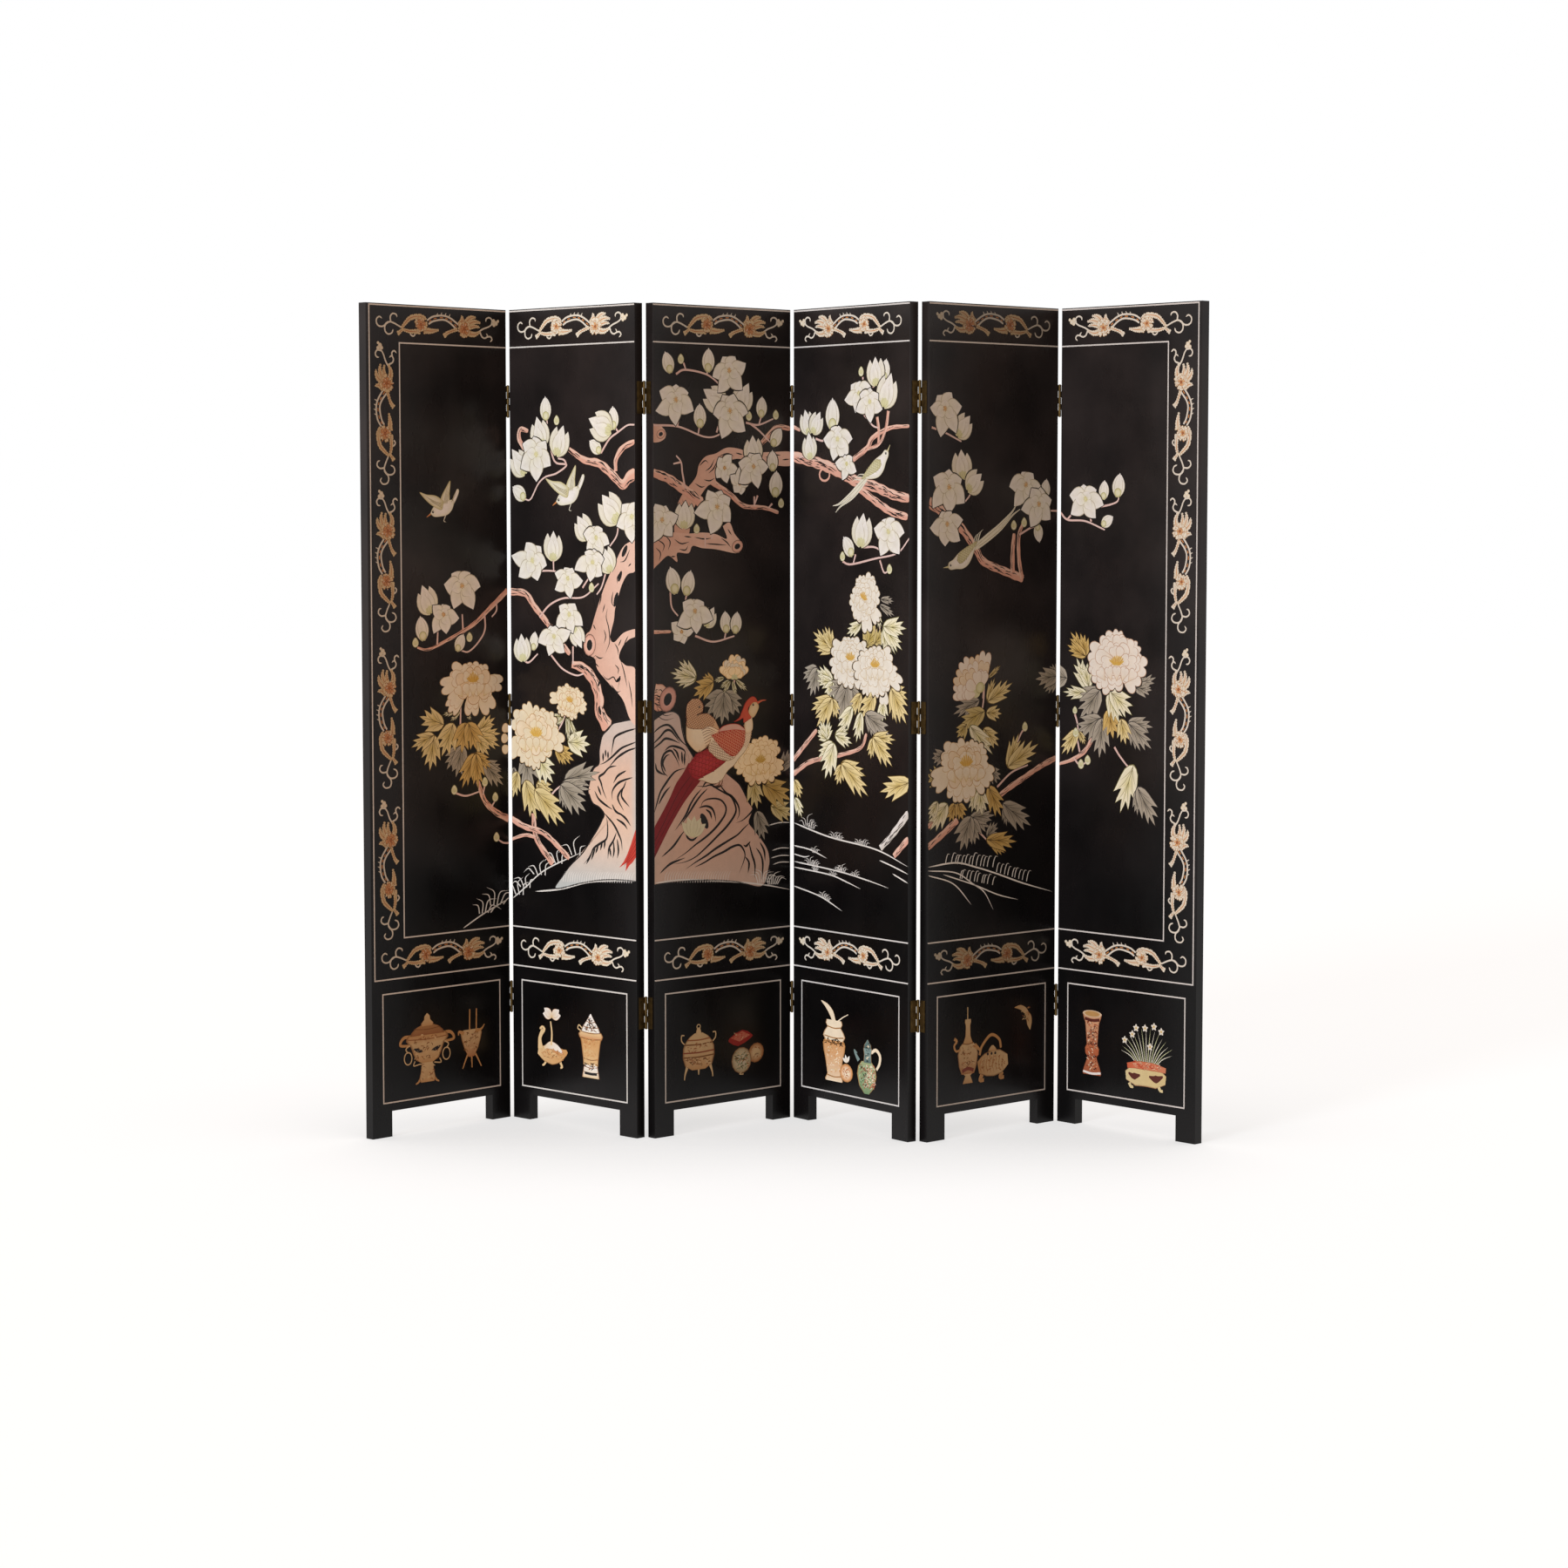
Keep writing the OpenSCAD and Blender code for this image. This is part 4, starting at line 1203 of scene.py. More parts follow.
def antiques_1(art):
    """A covered censer with ring handles, and a cup on three legs."""
    brown, pale, dark = colour("a8683a"), POTTERY[1], POTTERY[2]
    for hand in (-1, 1):
        art.stroke(beside(158, hand, [(30, 212), (66, 216), (78, 200), (50, 196)]),
                 (8, 7, 5), POTTERY[0])
        art.stroke(beside(158, hand, [(44, 200), (62, 190), (56, 180)]), 3, pale)
        ring(art, 158 + hand * 56, 168, 11, pale, 2.6, 1.25)
        art.stroke(beside(158, hand, [(18, 122), (26, 112), (34, 108)]), (7, 3), POTTERY[0])
        art.stroke(beside(158, hand, [(20, 152), (40, 150), (36, 160)]), 2.6, pale)
    vessel(art, 158, [(110, 20), (118, 24), (132, 20), (150, 17), (156, 16)])
    vessel(art, 158, [(154, 18), (162, 34), (178, 42), (196, 50), (204, 56)])
    vessel(art, 158, [(198, 54), (206, 62), (214, 60), (220, 52)], [POTTERY[1], POTTERY[0], dark])
    vessel(art, 158, [(216, 50), (224, 46), (234, 32), (240, 14)], [brown, colour("c08a54"), dark])
    vessel(art, 158, [(236, 17), (242, 18), (250, 9), (258, 8), (264, 1)])
    band(art, 158, 206, 56, 2.2, brown)
    for hand in (-1, 1):
        art.line(beside(158, hand, [(12, 180), (24, 182), (40, 188)]), (4, 9, 5), INK, (0.2, 0.2))
    band(art, 158, 228, 38, 1.8, dark)
    glaze(art, 118, 196, 160, 216, 46, [brown, pale, dark])
    glaze(art, 140, 176, 114, 150, 20, [brown, pale])
    for x, foot in ((284, 262), (288, 290), (292, 318)):
        art.stroke([(x, 168), ((x + foot) / 2, 150), (foot, 127)], (7, 4, 2.5), POTTERY[0])
    vessel(art, 288, [(152, 8), (170, 20), (190, 28), (206, 32), (214, 24)],
           [colour("c87c48"), POTTERY[1], dark])
    art.stroke([(266, 206), (252, 212), (250, 204)], (9, 3), POTTERY[0])
    art.stroke([(300, 208), (318, 212), (328, 222)], (9, 2), POTTERY[0])
    for x in (283, 303):
        art.stroke([(x, 212), (x + 1, 260)], 3.4, POTTERY[0])
    glaze(art, 268, 308, 166, 208, 32, [brown, pale, dark])


def antiques_2(art):
    """A vessel in the form of a duck with flowers, and a tall covered jar."""
    brown, pale, dark = colour("d08a50"), POTTERY[1], POTTERY[2]
    for x, foot in ((112, 104), (158, 164)):
        art.stroke([(x, 142), (foot, 132), (foot - 6, 130)], (7, 4), pale)
    body_strip(art, [(84, 162), (108, 158), (140, 156), (170, 164), (180, 170)], (8, 19, 22, 16, 4),
               [pale, POTTERY[0], dark])
    body_strip(art, [(92, 168), (90, 190), (98, 206), (104, 212), (98, 216), (90, 212)],
               (9, 6, 5, 6, 5, 2), [pale, pale, dark])
    body_strip(art, [(104, 170), (128, 178), (150, 172), (166, 164)], (3, 9, 8, 2), [pale, PETAL[1], dark])
    glaze(art, 96, 166, 146, 168, 30, [brown, pale, dark])
    for k in range(4):
        band(art, 138 + 6 * k, 164 - 2 * k, 14, 1.2, brown, 4)
    art.stroke([(128, 178), (130, 206), (126, 232)], (6, 4), pale)
    for angle in (172, 8, 146, 34):
        petal(art, 130, 244, angle, 30, 20, [pale, PETAL[1], brown])
    eye(art, 98, 214, 1.2)
    vessel(art, 258, [(118, 28), (124, 27), (146, 22), (152, 24)], [pale, PETAL[1], dark])
    vessel(art, 258, [(146, 24), (160, 25), (196, 31), (214, 37)], [POTTERY[1], POTTERY[0], dark])
    vessel(art, 258, [(206, 36), (214, 40), (222, 34)], [colour("d58c56"), POTTERY[1], dark])
    vessel(art, 258, [(220, 32), (232, 26), (244, 15), (254, 7), (262, 1)],
           [PETAL_SHADE[1], PETAL[1], dark])
    for z, half in ((128, 24), (140, 22), (158, 23), (204, 32), (218, 32), (230, 25), (242, 14)):
        band(art, 258, z, half, 1.8, dark)
    band(art, 258, 127, 20, 6, INK, 1)
    glaze(art, 238, 278, 136, 150, 20, [INK, PETAL[1], dark])
    art.stroke([(226, 222), (216, 226), (220, 234), (230, 228)], 2.6, pale)
    glaze(art, 236, 280, 160, 204, 34, [brown, colour("e8c890"), POTTERY[0]])
    glaze(art, 240, 276, 220, 240, 22, [dark, INK, PETAL[1]])
    glaze(art, 250, 266, 240, 252, 8, [dark, INK])


def antiques_3(art):
    """A covered pot on three legs, and fruit beside a red box."""
    brown, pale, dark = colour("b06c40"), POTTERY[1], POTTERY[2]
    for hand in (-1, 1):
        art.stroke(beside(128, hand, [(34, 148), (40, 132), (42, 120)]), (8, 4, 2.5), pale)
        art.stroke(beside(128, hand, [(42, 200), (50, 208), (50, 220), (42, 220)]),
                 2.8, pale)
    art.stroke([(128, 142), (128, 128)], (6, 2), pale)
    vessel(art, 128, [(140, 20), (150, 40), (170, 47), (190, 46), (202, 40), (214, 28), (222, 12)])
    vessel(art, 128, [(220, 8), (226, 7), (234, 4)], [pale, pale, dark])
    ring(art, 128, 236, 5, pale, 2)
    for z, half, tint in ((206, 34, brown), (196, 42, dark), (178, 46, colour("9c4a2c")), (168, 46, dark)):
        band(art, 128, z, half, 3.2, tint, 2)
    glaze(art, 92, 164, 148, 166, 40, [brown, pale, dark])
    glaze(art, 96, 160, 180, 200, 24, [brown, pale])
    box = [(218, 192), (246, 180), (286, 196), (286, 204), (258, 216), (220, 200)]
    art.patch(curve(box + box[:1], 40)[:-1], RED[0])
    art.patch([(224, 200), (250, 190), (282, 202), (258, 213)], colour("dc7a5c"))
    glaze(art, 232, 276, 194, 208, 14, [RED[1], pale])
    spot(art, 300, 160, 22, [colour("c88a54"), pale, dark], 1.1, 30)
    glaze(art, 288, 314, 150, 172, 16, [brown, pale])
    spot(art, 256, 147, 30, [colour("cdb98c"), colour("e6d8b4"), dark])
    glaze(art, 236, 276, 128, 166, 60, [colour("6a7a4a"), brown, pale, colour("8c9660")])
    art.line([(256, 120), (250, 116), (262, 115)], 2.4, pale)


def antiques_4(art):
    """A jar with a horn, a fruit, and a green ewer."""
    brown, pale, dark = colour("d89a5c"), colour("f4e0bc"), colour("a8743c")
    body_strip(art, [(148, 238), (138, 256), (122, 270), (102, 280)], (6, 8, 6, 1), [pale, pale, dark])
    art.line([(160, 238), (180, 250), (198, 258)], (3.4, 1.6), pale)
    vessel(art, 148, [(102, 30), (106, 32), (118, 24), (150, 31), (172, 38), (186, 40), (198, 32)],
           [pale, brown, dark])
    vessel(art, 148, [(194, 32), (204, 40), (214, 34), (224, 24), (232, 30), (240, 27)], [pale, pale, dark])
    for z, half in ((188, 38), (200, 34), (112, 26), (222, 24)):
        band(art, 148, z, half, 2.6, dark)
    glaze(art, 124, 172, 120, 180, 44, [brown, pale, colour("e8c48c")])
    glaze(art, 118, 178, 183, 197, 30, [INK, INK, dark])
    spot(art, 192, 126, 21, [colour("dc9a60"), pale, dark], 1.1)
    glaze(art, 180, 204, 114, 138, 14, [colour("c8743c"), brown])
    for angle in (60, 110, 150):
        petal(art, 194, 150, angle, 18, 8, [pale, PETAL[1], dark])
    art.stroke([(236, 160), (226, 172), (220, 182), (230, 176)], (10, 6, 2), colour("7c9088"))
    art.stroke([(280, 182), (296, 190), (310, 178), (308, 160), (298, 146)], (7, 8, 6), pale)
    vessel(art, 264, [(88, 8), (104, 26), (130, 34), (148, 30), (160, 18)],
           [colour("6c8c60"), colour("a2ac7c"), dark])
    vessel(art, 267, [(158, 14), (176, 12), (190, 15)], [colour("4c625a"), colour("869a90"), dark])
    vessel(art, 267, [(190, 13), (198, 12), (206, 4), (210, 1)], [colour("33463f"), colour("6c827a"), dark])
    glaze(art, 238, 264, 104, 150, 46, [colour("3f6a44"), colour("b8c8a0"), colour("8a3a2a")])
    glaze(art, 256, 292, 100, 152, 74, [colour("a83a28"), pale, colour("d8825c"), colour("f0dcb8")])
    glaze(art, 262, 272, 160, 202, 14, [pale, colour("233630")])


def antiques_5(art):
    """A long-necked bottle, a pot with a high handle, and a curved pod."""
    brown, pale, dark = colour("b8743c"), POTTERY[1], POTTERY[2]
    art.stroke([(126, 258), (126, 287)], 2.6, pale)
    vessel(art, 127, [(117, 16), (122, 14), (134, 8), (142, 20)])
    vessel(art, 127, [(138, 20), (156, 28), (182, 32), (200, 26), (208, 16)], [brown, pale, dark])
    vessel(art, 127, [(204, 17), (222, 8), (246, 7), (254, 10), (260, 9)])
    art.stroke([(104, 194), (90, 192), (84, 204), (92, 214), (84, 220)], (5, 5, 7), POTTERY[0])
    art.stroke([(148, 200), (162, 190), (168, 182)], (12, 3), POTTERY[0])
    glaze(art, 106, 148, 146, 200, 40, [brown, pale, dark])
    band(art, 127, 204, 16, 2, dark)
    band(art, 127, 150, 18, 8, colour("8c3a20"), -5)
    for x in (172, 236):
        art.stroke([(x, 132), (x - 6, 120), (x + 6, 119)], (11, 8), POTTERY[0])
    body_strip(art, [(160, 148), (180, 152), (206, 154), (234, 156), (254, 158)], (14, 26, 30, 27, 12),
               [colour("cf9858"), POTTERY[1], dark])
    art.stroke([(164, 176), (172, 196), (200, 218), (226, 206), (232, 186)], (6, 7, 6), POTTERY[0])
    vessel(art, 205, [(182, 14), (188, 10), (194, 3)])
    for x in range(170, 250, 10):
        art.line([(x, 176 - abs(x - 206) * 0.2), (x - 5, 152), (x, 132 + abs(x - 206) * 0.1)], 1.4, brown,
                 (0.2, 0.2))
    glaze(art, 170, 244, 136, 172, 40, [brown, pale])
    for x in (190, 202, 214):
        spot(art, x, 176, 3.4, [INK, INK, dark])
    body_strip(art, [(276, 272), (296, 270), (312, 260), (318, 252)], (1, 5, 7, 5), POTTERY)
    body_strip(art, [(314, 258), (322, 244), (324, 230), (326, 217)], (5, 9, 8, 1), POTTERY)
    glaze(art, 298, 322, 236, 268, 14, [brown, pale])


def antiques_6(art):
    """A tall beaker, and narcissus in a footed pot."""
    brown, pale, dark = colour("c06038"), colour("f2d9b4"), colour("8a4a2a")
    wine = colour("5c2216")
    vessel(art, 105, [(118, 26), (122, 28), (134, 24), (154, 15), (160, 14)],
           [colour("a0502c"), colour("c07048"), dark])
    vessel(art, 105, [(158, 13), (166, 20), (178, 21), (188, 15)],
           [colour("a44e2a"), colour("cc7448"), dark])
    vessel(art, 105, [(184, 16), (210, 18), (236, 21), (244, 25), (256, 29)],
           [colour("b4603a"), colour("e2ac80"), dark])
    art.disc(ball(105, 256, 8, 20, 3.6), (105, 256), [(1, dark), (0.94, pale), (0.7, colour("c89858"))])
    for z, half, height, tint in ((241, 22, 7, wine), (188, 15, 3, wine), (158, 14, 3, wine),
                                  (121, 26, 5, PETAL[1])):
        band(art, 105, z, half, height, tint)
    glaze(art, 90, 120, 128, 236, 110, [brown, pale, dark, wine, colour("e0a070")])
    for k in range(17):
        lean = -62 + k * 7.6
        angle = math.radians(90 - lean)
        reach = 62 + 18 * math.cos(math.radians(lean * 1.3)) + art.rng.uniform(-6, 6)
        start = (266 + lean * 0.42, 156)
        end = (start[0] + reach * math.cos(angle) * 0.9, start[1] + reach * math.sin(angle))
        middle = ((start[0] + end[0]) / 2 - lean * 0.05, (start[1] + end[1]) / 2 + 4)
        art.stroke([start, middle, end], (2.2, 1.9, 0.9), colour("cfd2a0") if k % 2 else colour("f0ecd2"),
                   (0, 0.3))
    for x, z in ((235, 238), (261, 240), (287, 246), (308, 237), (224, 223), (202, 208), (276, 200)):
        for k in range(5):
            petal(art, x, z, 90 + 72 * k, 9, 6, [colour("e8dca8"), PETAL[1], PETAL_SHADE[2]])
        spot(art, x, z, 2.2, [GOLD, GOLD, ORANGE])
    body_strip(art, [(206, 130), (226, 132), (264, 134), (304, 132), (322, 130)], (10, 24, 24, 24, 10),
               [colour("ecd9a0"), colour("e8cf90"), dark])
    body_strip(art, [(210, 152), (240, 156), (284, 156), (322, 152)], (6, 9, 9, 6),
               [colour("d8623c"), colour("e08a60"), dark])
    for x in (216, 302):
        art.stroke([(x, 114), (x + 5, 106), (x + 12, 106)], (8, 6), colour("ecd9a0"))
    body_strip(art, [(214, 136), (228, 130), (248, 134)], (2, 8, 2), [wine] * 3)
    body_strip(art, [(274, 134), (294, 130), (314, 138)], (2, 9, 2), [wine] * 3)
    glaze(art, 226, 306, 148, 162, 40, [colour("c8482c"), colour("f0c49c"), colour("e8a07c")])


# The picture on each leaf


def magnolias(art, flowers):
    """Open flowers: x, z, width, height, turn."""
    for x, z, wide, tall, turn in flowers:
        magnolia(art, x, z, wide, tall, turn, 6 if wide > 78 else 5)


def cups(art, flowers):
    """Flowers from the side: x, z, height, the way they open."""
    for x, z, size, turn in flowers:
        cup(art, x, z, size, turn)


def buds(art, large, small=()):
    """Closed buds: x, z, height, direction; and small round ones: x, z."""
    for x, z, size, turn in large:
        bud(art, x, z, size, turn)
    for x, z in small:
        knob(art, x, z)


def leaves(art, kinds):
    """Blades of peony leaves, kind by kind: x and z of the stalk, x and z of the tip, width."""
    art.use("foliage")
    for kind, blades in kinds:
        for blade in blades:
            leaf(art, kind, *blade)


def tufts(art, lean, blades, placed, width=3.0):
    """Tufts of grass: x, z, size."""
    for x, z, size in placed:
        tuft(art, x, z, size, lean, blades, width)


def grounds(art, placed):
    """Lines of ground: their widths and points."""
    art.use("ground")
    for width, points in placed:
        ground(art, points, width)


def limbs(art, placed):
    """Branches: width from start to end, then points."""
    art.use("branches")
    for width, points in placed:
        branch(art, points, width)


def twigs(art, placed):
    """Thin twigs, each by its points."""
    art.use("branches")
    for points in placed:
        twig(art, points)


def picture_1(art):
    """A swallow over magnolia twigs, a peony and the start of the ground."""
    grounds(art, [(3.0, [(266, 445), (328, 473), (406, 502)])])
    tufts(art, -20, 5, [(332, 474, 42), (368, 490, 48)])
    limbs(art, [
        ((16, 11), [(406, 683), (368, 700), (334, 728), (312, 775)]),
        ((13, 9, 5), [(406, 1201), (357, 1165), (300, 1125), (220, 1091), (169, 1074), (138, 1079)]),
    ])
    twigs(art, [
        [(336, 1152), (337, 1114), (317, 1086), (288, 1066), (266, 1069)],
        [(372, 1176), (372, 1156), (358, 1142)],
        [(243, 752), (277, 743), (317, 750)], [(334, 765), (328, 742)], [(352, 712), (364, 726)],
        [(406, 628), (388, 630), (370, 640)], [(272, 1116), (270, 1150)], [(196, 1084), (198, 1112)],
        [(262, 900), (264, 946)],
    ])
    leaves(art, [
        ("grey", [(331, 813, 384, 797, 30), (331, 813, 388, 762, 38), (262, 860, 222, 806, 40),
                  (268, 858, 248, 788, 46)]),
        ("yellow", [(214, 905, 146, 926, 50), (184, 885, 172, 808, 46), (186, 884, 121, 860, 34),
                    (242, 908, 208, 838, 56), (310, 884, 364, 914, 34), (310, 880, 380, 878, 34),
                    (308, 880, 378, 850, 34), (306, 876, 345, 832, 36)]),
        ("ochre", [(277, 908, 266, 842, 54), (285, 908, 310, 846, 50), (304, 838, 352, 802, 30),
                   (304, 838, 267, 763, 38), (308, 838, 314, 760, 38)]),
        ("cream", [(254, 937, 211, 927, 13), (262, 934, 234, 913, 12), (278, 934, 294, 912, 10)]),
    ])
    art.use("blossoms")
    buds(art, [(152, 1120, 54, 100), (263, 1086, 42, 60)],
         [(133, 1089), (291, 1097), (243, 757), (334, 770), (365, 734), (368, 643)])
    cups(art, [(167, 1182, 64, 112)])
    magnolias(art, [(271, 1202, 104, 82, 95), (212, 1142, 90, 58, 70)])
    peony(art, 297, 978, 178, 122, 0, (0.02, 0.24))
    for z, angle in ((880, 150), (850, 205), (866, 178)):
        frill(art, 414, z, angle, 30, 30, PEONY, 1)
    art.use("birds")
    swallow(art, 218, 1390, 58)


def picture_2(art):
    """The tree's trunk with its magnolias, over peonies and the rock's left side."""
    art.use("rocks")
    rock(art, [(410, 926), (391, 924), (361, 919), (334, 913), (319, 900), (301, 886), (294, 868),
               (290, 850), (289, 823), (270, 808), (254, 764), (258, 751), (269, 734), (290, 726),
               (305, 712), (298, 698), (286, 680), (268, 659), (248, 635), (230, 617), (194, 590),
               (170, 566), (146, 535), (230, 553), (290, 564), (350, 569), (410, 570)], (366, 740),
         [
             [(410, 906), (376, 898), (342, 885), (334, 868), (328, 842)],
             [(410, 877), (367, 863), (349, 853), (331, 840), (307, 826), (291, 821)],
             [(410, 864), (379, 855), (349, 840), (334, 828), (319, 815)],
             [(346, 821), (322, 816), (304, 802), (289, 793), (295, 781), (302, 763), (314, 744)],
             [(376, 812), (349, 799), (334, 781)],
             [(396, 798), (361, 788), (343, 778), (331, 763), (331, 744)],
             [(376, 790), (367, 774), (356, 764), (349, 748), (368, 722)],
             [(366, 774), (361, 754), (386, 732)], [(330, 736), (341, 721), (362, 712)],
             [(274, 762), (287, 745), (308, 733), (333, 723)], [(284, 774), (296, 752)],
             [(305, 714), (320, 703), (335, 691), (347, 676), (359, 656), (362, 634)],
             [(313, 706), (316, 680), (312, 658), (292, 646), (271, 634), (259, 616), (238, 596)],
             [(344, 674), (334, 655), (320, 637), (316, 613)], [(334, 655), (336, 632), (332, 616)],
             [(322, 640), (326, 618)], [(343, 704), (367, 694), (380, 682)],
             [(349, 719), (374, 706), (390, 690)], [(299, 652), (292, 630)], [(308, 656), (304, 634)],
             [(286, 642), (276, 622)], [(346, 660), (350, 634), (346, 616)], [(310, 856), (310, 838)],
             [(318, 852), (318, 834)], [(302, 848), (302, 828)], [(276, 636), (262, 606)],
             [(266, 626), (246, 596)],
         ], 545, 900)
    hatching(art, 170, 552, 30, 7.6, 0.45)
    grounds(art, [
        (3.0, [(0, 501), (44, 530), (112, 575), (231, 622)]),
        (3.6, [(78, 523), (163, 535), (248, 556), (330, 566), (406, 570)]),
    ])
    tufts(art, 24, 4, [(18, 512, 46), (44, 530, 38), (92, 562, 46), (150, 592, 40), (206, 614, 48)])
    limbs(art, [
        ((16, 16, 15, 14, 12), [(0, 1198), (50, 1194), (81, 1165), (120, 1132), (196, 1062)]),
        ((16, 26, 28, 28, 36),
         [(202, 1040), (240, 1032), (274, 1004), (290, 966), (290, 940), (318, 904)]),
        ((11, 15, 20, 20, 28),
         [(187, 1520), (244, 1492), (293, 1483), (334, 1459), (367, 1437), (388, 1452), (410, 1462)]),
        ((10, 14, 12), [(346, 1466), (346, 1490), (368, 1516), (406, 1530)]),
        ((14, 12, 10), [(53, 1516), (32, 1540), (36, 1562), (62, 1558)]),
        ((14, 17), [(72, 700), (83, 643), (137, 590)]),
        ((15, 13, 13), [(0, 683), (44, 668), (112, 655), (191, 606)]),
        ((7, 9), [(0, 637), (44, 649), (80, 646)]),
    ])
    timber(art, [(410, 1318), (372, 1304), (346, 1271), (309, 1214), (281, 1157), (264, 1118),
                 (250, 1108), (243, 1088), (248, 1066), (277, 1054), (285, 1031), (326, 998), (354, 978),
                 (370, 961), (388, 926), (410, 920), (410, 1028), (374, 1043), (354, 1059), (366, 1084),
                 (387, 1100), (410, 1108), (410, 1122), (390, 1120), (366, 1112), (338, 1092),
                 (326, 1104), (338, 1140), (342, 1165), (354, 1197), (366, 1222), (383, 1242),
                 (410, 1254)])
    knot(art, 260, 1084, 20, 80)
    for x, z, long, wide, turn in ((373, 1292, 15, 6, 58), (358, 1237, 13, 5, 66), (345, 1186, 17, 6, 72),
                                   (352, 1010, 8, 4, 30), (290, 1000, 8, 3, 60), (292, 940, 10, 4, 110)):
        hole(art, x, z, long, wide, turn)
    bark(art, [
        [(390, 1296), (374, 1272), (358, 1268)], [(362, 1248), (350, 1234), (350, 1220)],
        [(336, 1204), (332, 1180), (342, 1168)],
        [(318, 1166), (314, 1146), (322, 1122), (324, 1092), (310, 1066)], [(300, 1196), (292, 1172)],
        [(278, 1062), (292, 1056), (304, 1058)], [(306, 1120), (312, 1104), (306, 1088)],
        [(272, 1130), (280, 1118)], [(358, 1056), (370, 1028), (380, 994)],
        [(340, 1090), (350, 1078), (352, 1064)], [(352, 1084), (362, 1100)],
        [(300, 1020), (318, 1010), (336, 1016), (346, 1006), (358, 1018), (350, 990)],
        [(328, 1000), (346, 984), (360, 986)], [(384, 1010), (392, 980), (396, 950)],
        [(340, 1044), (352, 1034), (350, 1022)], [(394, 1266), (384, 1258)], [(310, 1176), (302, 1156)],
        [(370, 1088), (384, 1108)], [(276, 1046), (290, 1036)],
    ])
    twigs(art, [
        [(130, 1545), (141, 1504), (155, 1486), (188, 1481), (155, 1463), (118, 1455), (94, 1439),
         (69, 1406), (50, 1406)], [(124, 1592), (126, 1560)], [(188, 1481), (180, 1492), (160, 1496)],
        [(299, 1506), (326, 1536), (354, 1551), (383, 1565), (406, 1566)], [(326, 1536), (312, 1548)],
        [(354, 1551), (344, 1562)], [(350, 1375), (350, 1330), (322, 1298)], [(143, 1275), (144, 1246)],
        [(60, 1232), (90, 1244), (144, 1246), (180, 1236)], [(238, 1210), (262, 1236)],
        [(316, 1252), (300, 1214), (284, 1196)],
        [(96, 1142), (130, 1170), (176, 1186), (240, 1190), (290, 1220)],
        [(40, 1046), (60, 1040), (90, 1060)], [(130, 1062), (170, 1030), (214, 1016), (240, 1020)],
        [(206, 1080), (206, 1040)], [(180, 928), (168, 906), (153, 888)],
        [(128, 740), (146, 756), (166, 768)],
    ])
    leaves(art, [
        ("grey", [(8, 802, 6, 752, 30), (50, 838, 52, 754, 62)]),
        ("yellow", [(20, 792, 4, 733, 38), (86, 772, 138, 742, 34), (84, 770, 122, 732, 30),
                    (46, 774, 82, 690, 56), (76, 754, 172, 686, 58)]),
        ("cream", [(84, 832, 136, 775, 58)]),
        ("ochre", [(147, 852, 206, 826, 34), (147, 850, 182, 817, 28)]),
        ("cream", [(187, 866, 258, 864, 48)]),
        ("grey", [(175, 782, 286, 803, 46), (165, 770, 256, 764, 42), (164, 768, 182, 715, 32),
                  (163, 770, 243, 716, 54)]),
        ("cream", [(176, 924, 124, 920, 13), (176, 922, 147, 903, 14), (184, 922, 192, 866, 15),
                   (190, 922, 218, 872, 14)]),
    ])
    art.use("blossoms")
    buds(art, [(120, 1606, 52, 92), (31, 1420, 50, 148), (338, 1581, 50, 92), (281, 1520, 44, 145),
               (78, 1088, 42, 80)], [(156, 1579), (267, 1210)])
    cups(art, [(32, 1487, 66, 128), (165, 1532, 66, 70), (100, 1553, 68, 105), (300, 1566, 72, 158),
               (328, 1384, 78, 130), (240, 1343, 62, 125), (143, 1300, 64, 88), (316, 1272, 60, 115),
               (220, 1102, 50, 300), (38, 1072, 62, 95)])
    magnolias(art, [(83, 1496, 96, 88, 60), (400, 1357, 96, 82, 110), (63, 1265, 106, 82, 20),
                    (188, 1222, 84, 62, 75), (281, 1312, 84, 64, 80), (264, 1261, 90, 64, 40),
                    (191, 1142, 96, 60, 70), (146, 1091, 98, 62, 100)])
    peony(art, 190, 955, 118, 74, -14, (0.04, 0.1), PEONY_CREAM)
    peony(art, 78, 875, 185, 136, 0, (0.03, 0.07), PEONY_CREAM)
    art.use("birds")
    swallow(art, 196, 1418, 64)
    tail_tip(art)


